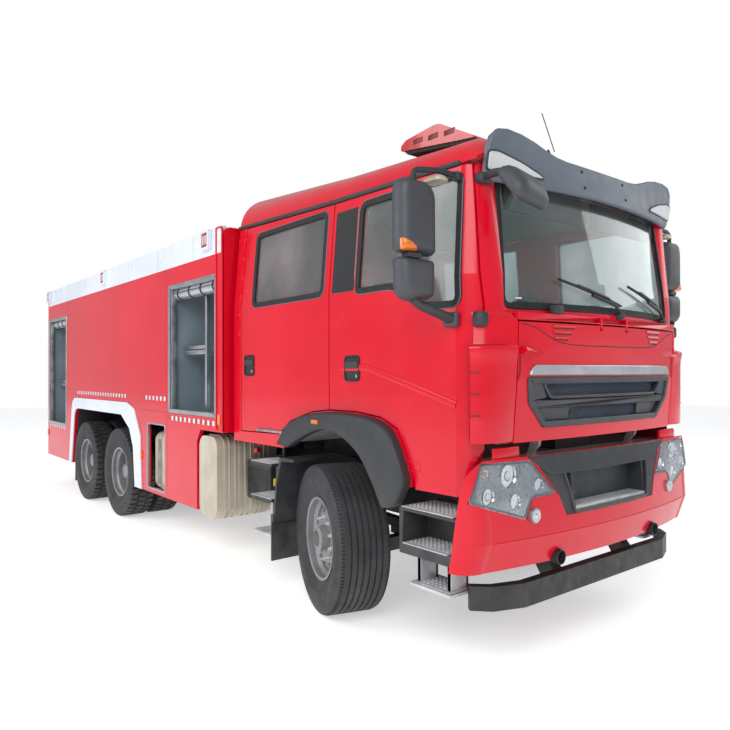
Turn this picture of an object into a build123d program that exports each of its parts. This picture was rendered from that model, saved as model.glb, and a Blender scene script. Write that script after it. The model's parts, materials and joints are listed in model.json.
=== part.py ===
from build123d import *
import math
import os

# Foam fire truck: a 6x4 chassis with a four-door tilting crew cab, a steered front axle with wide
# single tyres, a tandem rear axle with twin tyres, a foam and water body with roller-shutter
# compartments, and a foam monitor on its roof.
# Millimetres. +X forward, +Y to the truck's left, +Z up, z = 0 on the ground. Sizes are written
# with x = 0 at the front axle. Each piece is moved by -CENTRE_X when it is written, so that the
# whole truck is centred over the origin.

os.makedirs("parts", exist_ok=True)

# Wheels and axles
WHEELBASE = 4300
TANDEM = 1350
TYRE_RADIUS = 535
FRONT_TYRE_WIDTH = 385
REAR_TYRE_WIDTH = 300
TWIN_SPACING = 340
FRONT_TYRE_Y = 1017.5
REAR_OUTER_TYRE_Y = 1090
RIM_SEAT = 286
RIM_LIP = 12.5
RIM_WELL_INNER = RIM_SEAT - 35
FRONT_RIM_HALF = 161
REAR_RIM_HALF = 117
KINGPIN_Y = 930
KINGPIN_RADIUS = 24
SPINDLE_RADIUS = 42
STEER_REST = -16.2
RUNNING_FIT = 0.05
SEAT_GAP = 0.3
AXLE_Z = TYRE_RADIUS
REAR_AXLES_X = (-WHEELBASE, -WHEELBASE - TANDEM)

# Chassis
RAIL_INNER = 370
RAIL_OUTER = 450
RAIL_LOW = 720
RAIL_TOP = 1010
RAIL_FRONT = 1290
RAIL_REAR = -7560
RAIL_WEB = 10
SPRING_Y = 410

# Cab
CAB_REAR = -1380
CAB_WALL = 55
CAB_LOW = 1000
CAB_SIDE = 1168
CAB_SIDE_END = 1300
CAB_CORNER_Y = 920
CAB_FLOOR_Z = 1200
CAB_SILL_Z = 1150
WHEEL_BOX_TOP = 1425
DOOR_GAP = 9
DOOR_SLAB = 1050
PILLAR_Y = 970
PILLAR_STEP_Z = 1880
DOOR_SPLIT_X = 65
DOOR_HINGE_FRONT_X = 1420
TILT_X = 1440
TILT_Z = 1150
TILT_PIN = 22
TILT_PLATE_Y = (500, 540)
TILT_LUG_Y = (545, 575)
FLAP_TOP = 2030
FLAP_HINGE_X = 1588
FLAP_HINGE_Z = 2020
FLAP_HINGE_Y = 150
FLAP_PIN = 6
FLAP_LOW = 1335
FLAP_HALF = 895
FLAP_WALL = 32
GLASS = 8
GLASS_INSET = 12

# Rear body
BODY_FRONT = -1430
BODY_REAR = -7630
BODY_HALF = 1250
BODY_WALL = 40
BODY_LOW = 450
BODY_FRONT_LOW = 1210
DECK_TOP = 2820
DECK_THICK = 40
BODY_TOP = 3060
TUB_DEPTH = 590
TUB_WALL = 20
REAR_REACH = 150

# Door mirrors
MIRROR_OUT = 1560
FRONT_REACH = 1780

CENTRE_X = (FRONT_REACH + BODY_REAR - REAR_REACH) / 2


# Helpers
def block(x, y, z):
    """Box between a low and a high value along each axis."""
    size = (x[1] - x[0], y[1] - y[0], z[1] - z[0])
    middle = ((x[0] + x[1]) / 2, (y[0] + y[1]) / 2, (z[0] + z[1]) / 2)
    return Pos(*middle) * Box(*size)


def face_of(points, place, radius=0):
    """Flat face through 2-D points, its corners rounded by one radius or by one each."""
    spots = [place(*point) for point in points]
    if radius == 0:
        return make_face(Polyline(*spots, close=True))
    return make_face(FilletPolyline(*spots, radius=radius, close=True))


def side_sheet(points, low, high, radius=0):
    """Outline in X and Z, as seen from the side, extruded from y = low to y = high."""
    face = face_of(points, lambda u, v: Vector(u, low, v), radius)
    return extrude(face, amount=high - low, dir=(0, 1, 0))


def front_sheet(points, low, high, radius=0):
    """Outline in Y and Z, as seen from the front, extruded from x = low to x = high."""
    face = face_of(points, lambda u, v: Vector(low, u, v), radius)
    return extrude(face, amount=high - low, dir=(1, 0, 0))


def plan_sheet(points, low, high, radius=0):
    """Outline in X and Y, as seen from above, extruded from z = low to z = high."""
    face = face_of(points, lambda u, v: Vector(u, v, low), radius)
    return extrude(face, amount=high - low, dir=(0, 0, 1))


def rod(start, end, radius):
    """Round bar between two points."""
    a = Vector(*start)
    b = Vector(*end)
    plane = Plane(origin=a, z_dir=(b - a).normalized())
    return extrude(plane * Circle(radius), amount=(b - a).length)


def other_side(shape):
    """The same piece on the truck's other side."""
    return mirror(shape, about=Plane.XZ)


def on_side(shape, side):
    """A piece made on the left (+1), kept there or mirrored to the right (-1)."""
    return shape if side > 0 else other_side(shape)


def write(node, *pieces):
    """Write one node's solids in the truck's centred frame."""
    solids = [solid for piece in pieces for solid in piece.solids()]
    placed = [solid.moved(Location((-CENTRE_X, 0, 0))) for solid in solids]
    shape = placed[0] if len(placed) == 1 else Compound(placed)
    export_step(shape, f"parts/{node}.step")


# Wheels, made at the origin with their outer side towards +Y
def turned(profile):
    """Ring or disc turned about the wheel's own axis from (radius, distance outward) points."""
    face = make_face(Polyline(*[Vector(0, out, radius) for radius, out in profile], close=True))
    return revolve(face, Axis.Y, 360)


def tyre(width, rim_half):
    """Tyre seated between the lips of its rim."""
    half = width / 2
    bead = rim_half - RIM_LIP - SEAT_GAP
    seat = RIM_SEAT + SEAT_GAP
    profile = [
        (seat, -bead), (seat + 30, -bead - 8), (410, -half), (500, -half + 6),
        (TYRE_RADIUS - 7, -half + 32), (TYRE_RADIUS, -half + 70), (TYRE_RADIUS, half - 70),
        (TYRE_RADIUS - 7, half - 32), (500, half - 6), (410, half), (seat + 30, bead + 8),
        (seat, bead),
    ]
    return turned(profile)


def rim_outside(half, middle=0):
    """Tyre side of a rolled rim, from its outboard lip to its inboard lip."""
    lip = RIM_SEAT + RIM_LIP
    well = RIM_SEAT - 26
    side = [
        (lip, half), (lip, half - 7), (RIM_SEAT, half - RIM_LIP), (RIM_SEAT, half - 50),
        (well, half - 72),
    ]
    return [(radius, out + middle) for radius, out in side] + [
        (radius, middle - out) for radius, out in reversed(side)]


def rim_inside(half, middle=0):
    """Inner side of the rim between its middle and its outboard lip."""
    inner = RIM_SEAT - 9
    return [(RIM_WELL_INNER, middle + half - 68), (inner, middle + half - 48),
            (inner, middle + half - 4)]


def flipped(points, middle=0):
    """The same points on the inboard side of a plane, in reverse order."""
    return [(radius, 2 * middle - out) for radius, out in reversed(points)]


def with_hand_holes(rim, low, high):
    """Rim with ten round hand holes through its disc."""
    for number in range(10):
        angle = math.radians(36 * number)
        x, z = 200 * math.cos(angle), 200 * math.sin(angle)
        rim -= rod((x, low, z), (x, high, z), 21)
    return rim


def front_rim():
    """Wide single rim, with its disc near the outer side and the hub's cap in the middle."""
    bore = SPINDLE_RADIUS + RUNNING_FIT
    inside = rim_inside(FRONT_RIM_HALF)
    disc_and_hub = [
        (RIM_WELL_INNER, 60), (218, 76), (165, 93), (118, 93), (118, 20), (bore, 20),
        (bore, 135), (0, 135), (0, 177), (60, 177), (88, 167), (92, 111), (140, 111),
        (140, 105), (168, 105), (222, 90), (RIM_WELL_INNER, 78),
    ]
    rim = turned(rim_outside(FRONT_RIM_HALF) + flipped(inside) + disc_and_hub + inside)
    return with_hand_holes(rim, 40, 130)


def twin_rims():
    """Two deep rims bolted face to face on one hub; outward distance 0 is between the tyres."""
    bore = SPINDLE_RADIUS + RUNNING_FIT
    middle = TWIN_SPACING / 2
    outer = rim_outside(REAR_RIM_HALF, middle)
    inside = rim_inside(REAR_RIM_HALF, middle)
    near = flipped(inside, middle)
    profile = outer + near + [(216, 12), (172, 0), (216, -12)] + flipped(near)
    profile += flipped(outer)
    profile += flipped(inside) + [
        (RIM_WELL_INNER, -140), (208, -28), (165, -14), (150, -14), (150, -60), (174, -60),
        (174, -150), (bore, -150), (bore, 62), (0, 62), (0, 104), (66, 104), (92, 92),
        (96, 26), (140, 26), (140, 14), (165, 14), (208, 28), (RIM_WELL_INNER, 140),
    ] + inside
    return with_hand_holes(turned(profile), -58, 58)


def twin_tyres():
    """Two tyres side by side."""
    shape = tyre(REAR_TYRE_WIDTH, REAR_RIM_HALF)
    return [Pos(0, TWIN_SPACING / 2, 0) * shape, Pos(0, -TWIN_SPACING / 2, 0) * shape]


def steered(shape, side):
    """Turn a front wheel or knuckle about its kingpin to where the truck is parked."""
    pin = Axis((0, side * KINGPIN_Y, 0), (0, 0, 1))
    return shape.rotate(pin, STEER_REST)


# Steering knuckle, made on the left
def knuckle():
    """Forked knuckle round the kingpin, with its spindle and brake plate."""
    ear = 48
    ears = block((-52, 52), (KINGPIN_Y - ear, KINGPIN_Y + 90), (AXLE_Z - 112, AXLE_Z + 112))
    throat = block((-60, 60), (KINGPIN_Y - 60, KINGPIN_Y + 62), (AXLE_Z - 62, AXLE_Z + 62))
    pin = rod((0, KINGPIN_Y, 300), (0, KINGPIN_Y, 800), KINGPIN_RADIUS + RUNNING_FIT)
    plate = rod((0, KINGPIN_Y + 74, AXLE_Z), (0, KINGPIN_Y + 90, AXLE_Z), 195)
    spindle_end = FRONT_TYRE_Y + 105 + 20
    spindle = rod((0, KINGPIN_Y + 80, AXLE_Z), (0, spindle_end, AXLE_Z), SPINDLE_RADIUS)
    arm = block((-200, -40), (KINGPIN_Y - 30, KINGPIN_Y + 10), (AXLE_Z - 105, AXLE_Z - 75))
    return ears - throat - pin + plate + spindle + (arm - pin)


def front_axle():
    """Dropped front beam with kingpins, leaf springs and their hangers under the rails."""
    drop = 120
    beam_half = [
        (0, AXLE_Z - drop - 50), (640, AXLE_Z - drop - 50), (820, AXLE_Z - 50), (900, AXLE_Z - 50),
        (900, AXLE_Z + 50), (800, AXLE_Z + 50), (620, AXLE_Z - drop + 50), (0, AXLE_Z - drop + 50),
    ]
    beam = front_sheet(beam_half, -45, 45)
    beam += rod((0, KINGPIN_Y, AXLE_Z - 55), (0, KINGPIN_Y, AXLE_Z + 55), 50)
    beam += rod((0, KINGPIN_Y, AXLE_Z - 110), (0, KINGPIN_Y, AXLE_Z + 110), KINGPIN_RADIUS)
    spring_low = AXLE_Z - drop + 50
    pad = block((-90, 90), (SPRING_Y - 45, SPRING_Y + 45), (spring_low, spring_low + 60))
    half = 820
    leaf = [(-half, 660), (0, 515), (half, 660)]
    leaf_top = [(half, 690), (0, 585), (-half, 690)]
    edges = [
        ThreePointArc(*[Vector(x, SPRING_Y - 40, z) for x, z in leaf]),
        Line(Vector(half, SPRING_Y - 40, 660), Vector(half, SPRING_Y - 40, 690)),
        ThreePointArc(*[Vector(x, SPRING_Y - 40, z) for x, z in leaf_top]),
        Line(Vector(-half, SPRING_Y - 40, 690), Vector(-half, SPRING_Y - 40, 660)),
    ]
    spring = extrude(make_face(edges), amount=80, dir=(0, 1, 0))
    quarter = beam + pad + spring
    for x in (-half, half):
        quarter += block((x - 35, x + 35), (SPRING_Y - 40, SPRING_Y + 40), (655, RAIL_LOW))
    return quarter + other_side(quarter)


def rear_axles():
    """Two drive axles joined by the bogie springs on each side and their trunnions."""
    shape = None
    for x in REAR_AXLES_X:
        tube = rod((x, -760, AXLE_Z), (x, 760, AXLE_Z), 72)
        spindle = rod((x, -970, AXLE_Z), (x, 970, AXLE_Z), SPINDLE_RADIUS)
        case = Pos(x, 0, AXLE_Z) * Sphere(205)
        nose = rod((x, 0, AXLE_Z + 40), (x + 330, 0, AXLE_Z + 60), 110)
        axle = tube + spindle + case + nose
        shape = axle if shape is None else shape + axle
    middle = sum(REAR_AXLES_X) / 2
    for side in (1, -1):
        y = (SPRING_Y - 45, SPRING_Y + 45) if side > 0 else (-SPRING_Y - 45, -SPRING_Y + 45)
        ends = (REAR_AXLES_X[1] - 60, REAR_AXLES_X[0] + 60)
        spring = side_sheet([
            (ends[0], 600), (middle - 200, 610), (middle + 200, 610), (ends[1], 600),
            (ends[1], 640), (middle + 200, 700), (middle - 200, 700), (ends[0], 640),
        ], *y)
        trunnion = block((middle - 110, middle + 110), y, (480, RAIL_LOW))
        shape += spring + trunnion
    return shape


# Chassis frame
def chassis_rails():
    """Two channel rails joined by cross members."""
    web = block((RAIL_REAR, RAIL_FRONT), (RAIL_INNER, RAIL_OUTER), (RAIL_LOW, RAIL_TOP))
    hollow = block(
        (RAIL_REAR - 10, RAIL_FRONT + 10),
        (RAIL_INNER - 10, RAIL_OUTER - RAIL_WEB),
        (RAIL_LOW + RAIL_WEB, RAIL_TOP - RAIL_WEB),
    )
    rail = web - hollow
    frame = rail + other_side(rail)
    reach = RAIL_OUTER - RAIL_WEB / 2
    for x in (1180, -1420, -2300, -3450, -5000, -6500, -7400):
        frame += block((x - 45, x + 45), (-reach, reach), (RAIL_LOW + 60, RAIL_TOP - 60))
    for side in (1, -1):
        y = sorted((side * TILT_PLATE_Y[0], side * TILT_PLATE_Y[1]))
        frame += side_sheet(((1190, 900), (1280, 900), (TILT_X + 32, TILT_Z - 10),
                             (TILT_X + 20, TILT_Z + 32), (TILT_X - 20, TILT_Z + 32),
                             (1190, 1000)), *y)
        foot = sorted((side * (RAIL_OUTER - RAIL_WEB), side * TILT_PLATE_Y[0]))
        frame += block((1190, 1280), foot, (900, 980))
        frame += rod((TILT_X, side * TILT_PLATE_Y[0], TILT_Z),
                     (TILT_X, side * (TILT_LUG_Y[1] + 6), TILT_Z), TILT_PIN)
    return frame


def engine():
    """Engine and gearbox as one plain block between the rails."""
    sump = block((-650, 520), (-230, 230), (560, 760))
    core = block((-700, 600), (-RAIL_INNER + 30, RAIL_INNER - 30), (760, 1150))
    head = block((-600, 500), (-260, 260), (1150, 1395))
    gearbox = block((-1350, -700), (-220, 220), (700, 1130))
    mount = block((60, 160), (-RAIL_OUTER + RAIL_WEB, RAIL_OUTER - RAIL_WEB), (860, 900))
    return sump + core + head + gearbox + mount


# Cab shell: plan outlines at a few heights
# columns: height, half width, front on the centre line, front beside the corner
CAB_LEVELS = (
    (CAB_LOW, CAB_SIDE, 1420, 1392),
    (2040, CAB_SIDE, 1505, 1440),
    (2080, CAB_SIDE, 1600, 1462),
    (2300, CAB_SIDE, 1585, 1450),
    (3120, 1096, 1440, 1345),
)


def cab_plan(level, inset):
    """Plan outline of the cab at one level, drawn inwards by a wall's thickness."""
    z, half, front, corner = level
    half -= inset
    front -= inset
    corner -= inset
    rear = CAB_REAR + inset
    y = CAB_CORNER_Y - inset / 2
    bulge = ((CAB_SIDE_END + corner) / 2 + 44, (half + y) / 2 + 30)
    edges = [
        Line((rear, -half, z), (rear, half, z)),
        Line((rear, half, z), (CAB_SIDE_END, half, z)),
        ThreePointArc((CAB_SIDE_END, half, z), (*bulge, z), (corner, y, z)),
        ThreePointArc((corner, y, z), (front, 0, z), (corner, -y, z)),
        ThreePointArc((corner, -y, z), (bulge[0], -bulge[1], z), (CAB_SIDE_END, -half, z)),
        Line((CAB_SIDE_END, -half, z), (rear, -half, z)),
    ]
    return make_face(edges)


def cab_form(inset):
    """The cab's closed form, inset by a distance."""
    return loft([cab_plan(level, inset) for level in CAB_LEVELS], ruled=True)


CAB_OUTER = cab_form(0)
CAB_INNER = cab_form(CAB_WALL)
CAB_SHELL = CAB_OUTER - CAB_INNER
GLASS_SHELL = cab_form(GLASS_INSET) - cab_form(GLASS_INSET + GLASS)

# The drip rail's line, where the roof panel meets the sides
RAIL_LINE = ((CAB_REAR, 3030), (DOOR_SPLIT_X, 2975), (1300, 2950), (1700, 2950))

# Side outlines of the openings and panels, in X and Z
FRONT_DOOR = (
    (DOOR_SPLIT_X + 5, 1480), (380, 1482), (640, 1456), (800, 1388), (885, 1245), (958, 1075),
    (962, 1030), (1312, 1034), (1415, 1330), (DOOR_HINGE_FRONT_X, 2120), (1352, 2935),
    (DOOR_SPLIT_X + 5, 2958),
)
CREW_DOOR = (
    (-1240, 1245), (-620, 1262), (-455, 1372), (-160, 1456), (DOOR_SPLIT_X - 5, 1480),
    (DOOR_SPLIT_X - 5, 2958), (-1240, 3005),
)
FRONT_WINDOW = (
    (400, 2300), (750, 2300), (900, 2240), (1010, 2150), (1310, 2140), (1290, 2880), (400, 2880),
)
CREW_WINDOW = ((-1030, 2320), (-30, 2320), (-30, 2900), (-1030, 2900))
WINDOW_CORNERS = 45
FLARE_OUTER = (
    (-560, 1190), (-510, 1250), (-437, 1340), (-150, 1438), (37, 1462), (380, 1463),
    (630, 1437), (780, 1368), (860, 1230), (930, 1070), (830, 910),
)
FLARE_INNER = (
    (710, 890), (610, 1046), (510, 1176), (320, 1292), (110, 1344), (-150, 1287), (-395, 1175),
)
ARCH_OPEN = (
    (-540, 1000), (-470, 1200), (-395, 1245), (-150, 1362), (110, 1400), (370, 1380),
    (560, 1290), (680, 1150), (760, 1000),
)


def under_rail(drop=0):
    """Everything below the drip rail."""
    line = [(x, z - drop) for x, z in RAIL_LINE]
    return side_sheet([(CAB_REAR - 50, 900), *[(CAB_REAR - 50, line[0][1])], *line, (1700, 900)],
                      -1400, 1400)


def room_for(points, gap, low, high):
    """Solid of an outline grown by a gap."""
    face = make_face(Polyline(*[Vector(x, low, z) for x, z in points], close=True))
    wider = offset(face, amount=gap, kind=Kind.INTERSECTION)
    return extrude(wider, amount=high - low, dir=(0, 1, 0))


def front_room(points, gap, low, high):
    """Solid of a front outline in Y and Z, grown or shrunk by a gap."""
    face = make_face(Polyline(*[Vector(low, y, z) for y, z in points], close=True))
    wider = offset(face, amount=gap, kind=Kind.INTERSECTION)
    return extrude(wider, amount=high - low, dir=(1, 0, 0))


def door(outline, window):
    """One door leaf on the left, cut from the cab's side wall, with its window opening."""
    leaf = CAB_SHELL & side_sheet(outline, DOOR_SLAB, 1300)
    return leaf - side_sheet(window, DOOR_SLAB, 1300, WINDOW_CORNERS)


def door_glass(window):
    """The pane that fills a door's window."""
    return GLASS_SHELL & side_sheet(window, DOOR_SLAB, 1300, WINDOW_CORNERS)


WINDSCREEN = ((-940, 2128), (940, 2128), (900, 2868), (-900, 2868))


def cab_frame():
    """Welded side frames, pillars, sills, front bulkhead and windscreen surround."""
    outline = (
        (CAB_REAR + CAB_WALL, CAB_SILL_Z), (-560, CAB_SILL_Z), *ARCH_OPEN[1:], (930, 1040),
        (960, 1325), (1700, 1325), (1700, 3120),
        (CAB_REAR + CAB_WALL, 3120),
    )
    frame = CAB_SHELL & side_sheet(outline, -1300, 1300)
    frame &= under_rail()
    for shape in (FRONT_DOOR, CREW_DOOR):
        room = room_for(shape, DOOR_GAP, PILLAR_Y, 1300)
        frame = frame - room - other_side(room)
    behind_deflector = block((1380, 1700), (PILLAR_Y, 1300), (CAB_LOW, PILLAR_STEP_Z))
    frame = frame - behind_deflector - other_side(behind_deflector)
    frame -= front_sheet(WINDSCREEN, 1200, 1700, 60)
    for side in (1, -1):
        frame += flap_hinge(side)
    return frame


def flap_hinge(side):
    """Lug hanging from the cowl, with the pin that carries the service flap."""
    x, z, y = FLAP_HINGE_X, FLAP_HINGE_Z, side * FLAP_HINGE_Y
    lug = side_sheet(((x - 14, z - 10), (x + 8, z - 10), (x + 8, z + 64), (x - 30, z + 64)),
                     y - 10, y + 10)
    return lug + rod((x, y - 40, z), (x, y + 40, z), FLAP_PIN)


def cab_rear_wall():
    """Flat rear wall with three pressed stiffening hollows."""
    wall = CAB_SHELL & block((CAB_REAR - 1, CAB_REAR + CAB_WALL), (-1300, 1300), (CAB_SILL_Z, 3200))
    wall &= under_rail()
    for y in (-640, 0, 640):
        hollow = front_sheet(
            [(y - 230, 1500), (y + 230, 1500), (y + 230, 2750), (y - 230, 2750)],
            CAB_REAR - 1, CAB_REAR + 12, 60)
        wall -= hollow
    return wall


def cab_floor():
    """Cab floor with the raised tunnel over the engine."""
    half = CAB_SIDE - CAB_WALL - SEAT_GAP
    rear = CAB_REAR + CAB_WALL + SEAT_GAP
    floor = block((rear, 1290), (-half, half), (CAB_FLOOR_Z, CAB_FLOOR_Z + 30))
    floor -= block((-660, 620), (-430, 430), (CAB_FLOOR_Z - 10, CAB_FLOOR_Z + 40))
    tunnel = block((-680, 640), (-440, 440), (CAB_FLOOR_Z, 1470))
    tunnel -= block((-660, 620), (-420, 420), (CAB_FLOOR_Z - 10, 1445))
    floor += tunnel
    for side in (1, -1):
        low, high = sorted((side * 560, side * half))
        cover = block((-570, 800), (low, high), (CAB_FLOOR_Z, WHEEL_BOX_TOP))
        arch = side_sheet(ARCH_OPEN, low - 100, high + 100)
        floor = floor + cover - arch
        y = sorted((side * TILT_LUG_Y[0], side * TILT_LUG_Y[1]))
        lug = side_sheet(((1250, CAB_FLOOR_Z), (1390, CAB_FLOOR_Z - 5), (1412, TILT_Z - 28),
                          (1468, TILT_Z - 28), (1470, TILT_Z + 15), (1434, TILT_Z + 44),
                          (1418, TILT_Z + 57), (1395, TILT_Z + 79), (1379, TILT_Z + 96),
                          (1403, TILT_Z + 127), (1418, TILT_Z + 140), (1425, FLAP_LOW - 10.5),
                          (1365, FLAP_LOW - 10.5), (1335, CAB_FLOOR_Z + 30),
                          (1250, CAB_FLOOR_Z + 30)), *y)
        floor += lug - rod((TILT_X, y[0] - 5, TILT_Z), (TILT_X, y[1] + 5, TILT_Z),
                           TILT_PIN + RUNNING_FIT)
    return floor


# Roof: cross sections at a few stations
# columns: x, z of the drip rail, z of the shoulder, z of the crown
ROOF_STATIONS = (
    (*RAIL_LINE[0], 3297, 3335),
    (*RAIL_LINE[1], 3196, 3228),
    (*RAIL_LINE[2], 3168, 3198),
    (1440, RAIL_LINE[3][1], 3060, 3092),
)


def roof_section(station, inset):
    """Cross section of the roof, drawn inwards by its thickness."""
    x, rail, shoulder, crown = station
    low_half = 1168 - (rail - 2300) * (1168 - 1096) / (3120 - 2300) - inset
    top_half = 925 - inset * 0.6
    shoulder -= inset
    crown -= inset
    bulge = (low_half * 0.62 + top_half * 0.38 + 12, rail + (shoulder - rail) * 0.60)
    edges = [
        Line((x, -low_half, rail), (x, low_half, rail)),
        ThreePointArc((x, low_half, rail), (x, *bulge), (x, top_half, shoulder)),
        ThreePointArc((x, top_half, shoulder), (x, 0, crown), (x, -top_half, shoulder)),
        ThreePointArc((x, -top_half, shoulder), (x, -bulge[0], bulge[1]), (x, -low_half, rail)),
    ]
    return make_face(edges)


def cab_roof():
    """Roof panel, hollow below, higher over the crew."""
    outer = loft([roof_section(station, 0) for station in ROOF_STATIONS], ruled=True)
    inner_stations = [list(station) for station in ROOF_STATIONS]
    inner_stations[0][0] += 40
    inner_stations[-1][0] -= 40
    inner = loft([roof_section(station, 40) for station in inner_stations], ruled=True)
    return outer - inner


# Front flap under the windscreen
# columns: height, front on the centre line, front at the flap's edge
FLAP_LEVELS = ((FLAP_LOW, 1524, 1488), (1700, 1566, 1522), (FLAP_TOP, 1598, 1534))


def flap_form(inset):
    """Closed form whose front is the flap's curved face."""
    faces = []
    for z, front, edge in FLAP_LEVELS:
        faces.append(make_face([
            ThreePointArc((edge - inset, FLAP_HALF, z), (front - inset, 0, z),
                          (edge - inset, -FLAP_HALF, z)),
            Line((edge - inset, -FLAP_HALF, z), (1380, -FLAP_HALF, z)),
            Line((1380, -FLAP_HALF, z), (1380, FLAP_HALF, z)),
            Line((1380, FLAP_HALF, z), (edge - inset, FLAP_HALF, z)),
        ]))
    return loft(faces, ruled=True)


FLAP_SHELL = flap_form(0) - flap_form(FLAP_WALL)
GRILLE_TOP = 1712
GRILLE_LOW = 1412
GRILLE_TOP_HALF = 826
GRILLE_LOW_HALF = 668


def grille_outline(margin):
    """Trapezoid of the grille, made smaller by a margin."""
    return (
        (-GRILLE_TOP_HALF + margin, GRILLE_TOP - margin),
        (GRILLE_TOP_HALF - margin, GRILLE_TOP - margin),
        (GRILLE_LOW_HALF - margin, GRILLE_LOW + margin),
        (-GRILLE_LOW_HALF + margin, GRILLE_LOW + margin),
    )


def front_flap():
    """Red service flap with the grille's opening and three pressed slots each side."""
    flap = FLAP_SHELL - front_sheet(grille_outline(0), 1300, 1700, 40)
    for side in (1, -1):
        for row in range(3):
            z = 2005 - 34 * row
            low = sorted((side * (430 + 25 * row), side * (620 - 10 * row)))
            slot = front_sheet([(low[0], z - 9), (low[1], z - 9), (low[1], z + 9), (low[0], z + 9)],
                               1400, 1700)
            flap -= slot
        x, z, y = FLAP_HINGE_X, FLAP_HINGE_Z, side * FLAP_HINGE_Y
        flap -= block((x - 60, x + 60), (y - 16, y + 16), (z - 20, z + 20))
        flap -= rod((x, y - 42, z), (x, y + 42, z), FLAP_PIN + RUNNING_FIT)
    return flap


def grille():
    """Dark grille frame with its slats, set into the flap."""
    frame = FLAP_SHELL & front_sheet(grille_outline(SEAT_GAP), 1300, 1700, 40)
    frame -= front_sheet(grille_outline(34), 1300, 1700, 30)
    slat_shell = flap_form(8) - flap_form(FLAP_WALL - 2)
    bars = slat_shell & front_sheet(grille_outline(SEAT_GAP + 1), 1300, 1700, 40)
    for row in range(6):
        z = GRILLE_LOW + 40 + 44 * row
        if row != 5:
            bars -= block((1300, 1700), (-1000, 1000), (z, z + 28))
    return frame + bars


def corner_deflector():
    """Curved panel round the cab's left corner, standing off on ribs to let air through."""
    low, high, inner_y = FLAP_LOW + 10, 1908, FLAP_HALF + 10
    plan = make_face([
        ThreePointArc((1436, 1186, low), (1509, 1080, low), (1540, inner_y, low)),
        Line((1540, inner_y, low), (1512, inner_y, low)),
        ThreePointArc((1512, inner_y, low), (1486, 1060, low), (1424, 1170, low)),
        Line((1424, 1170, low), (1436, 1186, low)),
    ])
    skin = extrude(plan, amount=high - low, dir=(0, 0, 1))
    skin &= front_sheet(((inner_y, low), (1200, low), (1200, high), (inner_y, high - 30)),
                        1300, 1700)
    rib_plan = [
        ThreePointArc((1436, 1168, 0), (1494, 1070, 0), (1524, inner_y, 0)),
        Line((1524, inner_y, 0), (1425, inner_y, 0)),
        Line((1425, inner_y, 0), (1436, 1168, 0)),
    ]
    ribs = None
    for z in (low + 20, (low + high) / 2, high - 60):
        rib = Pos(0, 0, z) * extrude(make_face(rib_plan), amount=18, dir=(0, 0, 1))
        ribs = rib if ribs is None else ribs + rib
    return skin + (ribs - cab_form(-SEAT_GAP))


def front_mirror():
    """Close-view mirror on an arm ahead of the right front corner."""
    profile = (
        (1612, 2640), (1640, 2850), (1690, 2882), (1765, 2810), (FRONT_REACH, 2660),
        (1740, 2602), (1640, 2602),
    )
    head = side_sheet(profile, -1195, -865, 20)
    head &= front_sheet((
        (-1200, 2660), (-1200, 2780), (-1110, 2884), (-930, 2884), (-862, 2780), (-862, 2660),
        (-910, 2600), (-1150, 2600),
    ), 1550, FRONT_REACH + 20, 25)
    arm = rod((1402, -1040, 2850), (1500, -1090, 2846), 24)
    arm += Pos(1500, -1090, 2846) * Sphere(24)
    return head + arm + rod((1500, -1090, 2846), (1680, -1060, 2790), 24)


def visor():
    """Sun visor over the windscreen, its top edge dipped in the middle."""
    faces = []
    for z, front, end in ((2832, 1566, 1400), (3180, 1450, 1330)):
        faces.append(make_face([
            ThreePointArc((end, 1052, z), (front, 0, z), (end, -1052, z)),
            Line((end, -1052, z), (end - 34, -1052, z)),
            ThreePointArc((end - 34, -1052, z), (front - 42, 0, z), (end - 34, 1052, z)),
            Line((end - 34, 1052, z), (end, 1052, z)),
        ]))
    band = loft(faces, ruled=True)
    outline = (
        (-1060, 2830), (1060, 2830), (1060, 3040), (1010, 3135), (880, 3150), (640, 3120),
        (450, 3052), (-450, 3052), (-640, 3120), (-880, 3150), (-1010, 3135), (-1060, 3040),
    )
    band &= front_sheet(outline, 1200, 1700)
    return band + front_mirror() - cab_form(-SEAT_GAP) - cab_roof_solid(SEAT_GAP)


def lightbar():
    """Warning light bar: two sloped light ends on a low middle body."""
    profile = ((430, 3300), (365, 3378), (420, 3400), (700, 3432), (1080, 3226), (1085, 3200))
    end = side_sheet(profile, 330, 750)
    middle = side_sheet(((450, 3296), (420, 3350), (690, 3400), (1040, 3222), (1040, 3205)),
                        -330, 330)
    bar = end + other_side(end) + middle
    foot = block((560, 900), (500, 560), (3180, 3290))
    bar += foot + other_side(foot)
    return bar - cab_roof_solid(SEAT_GAP)


def cab_roof_solid(gap):
    """The roof's filled form with a clearance above it, for what stands on it."""
    front = ROOF_STATIONS[-1]
    stations = [*ROOF_STATIONS[:-1], (front[0] + gap, *front[1:])]
    return loft([roof_section(station, -gap) for station in stations], ruled=True)


def flare():
    """Dark wheel-arch flare on the cab's left side."""
    low = CAB_SIDE + SEAT_GAP
    arch = side_sheet((*FLARE_OUTER, *FLARE_INNER), low, 1242)
    inner = [(x * 0.98, z - 14) for x, z in FLARE_OUTER[2:8]]
    return arch - side_sheet(((-420, 1250), *inner, (700, 1180)), 1000, 1226) + side_sheet(
        (*FLARE_OUTER, *FLARE_INNER), low, low + 12)


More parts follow.
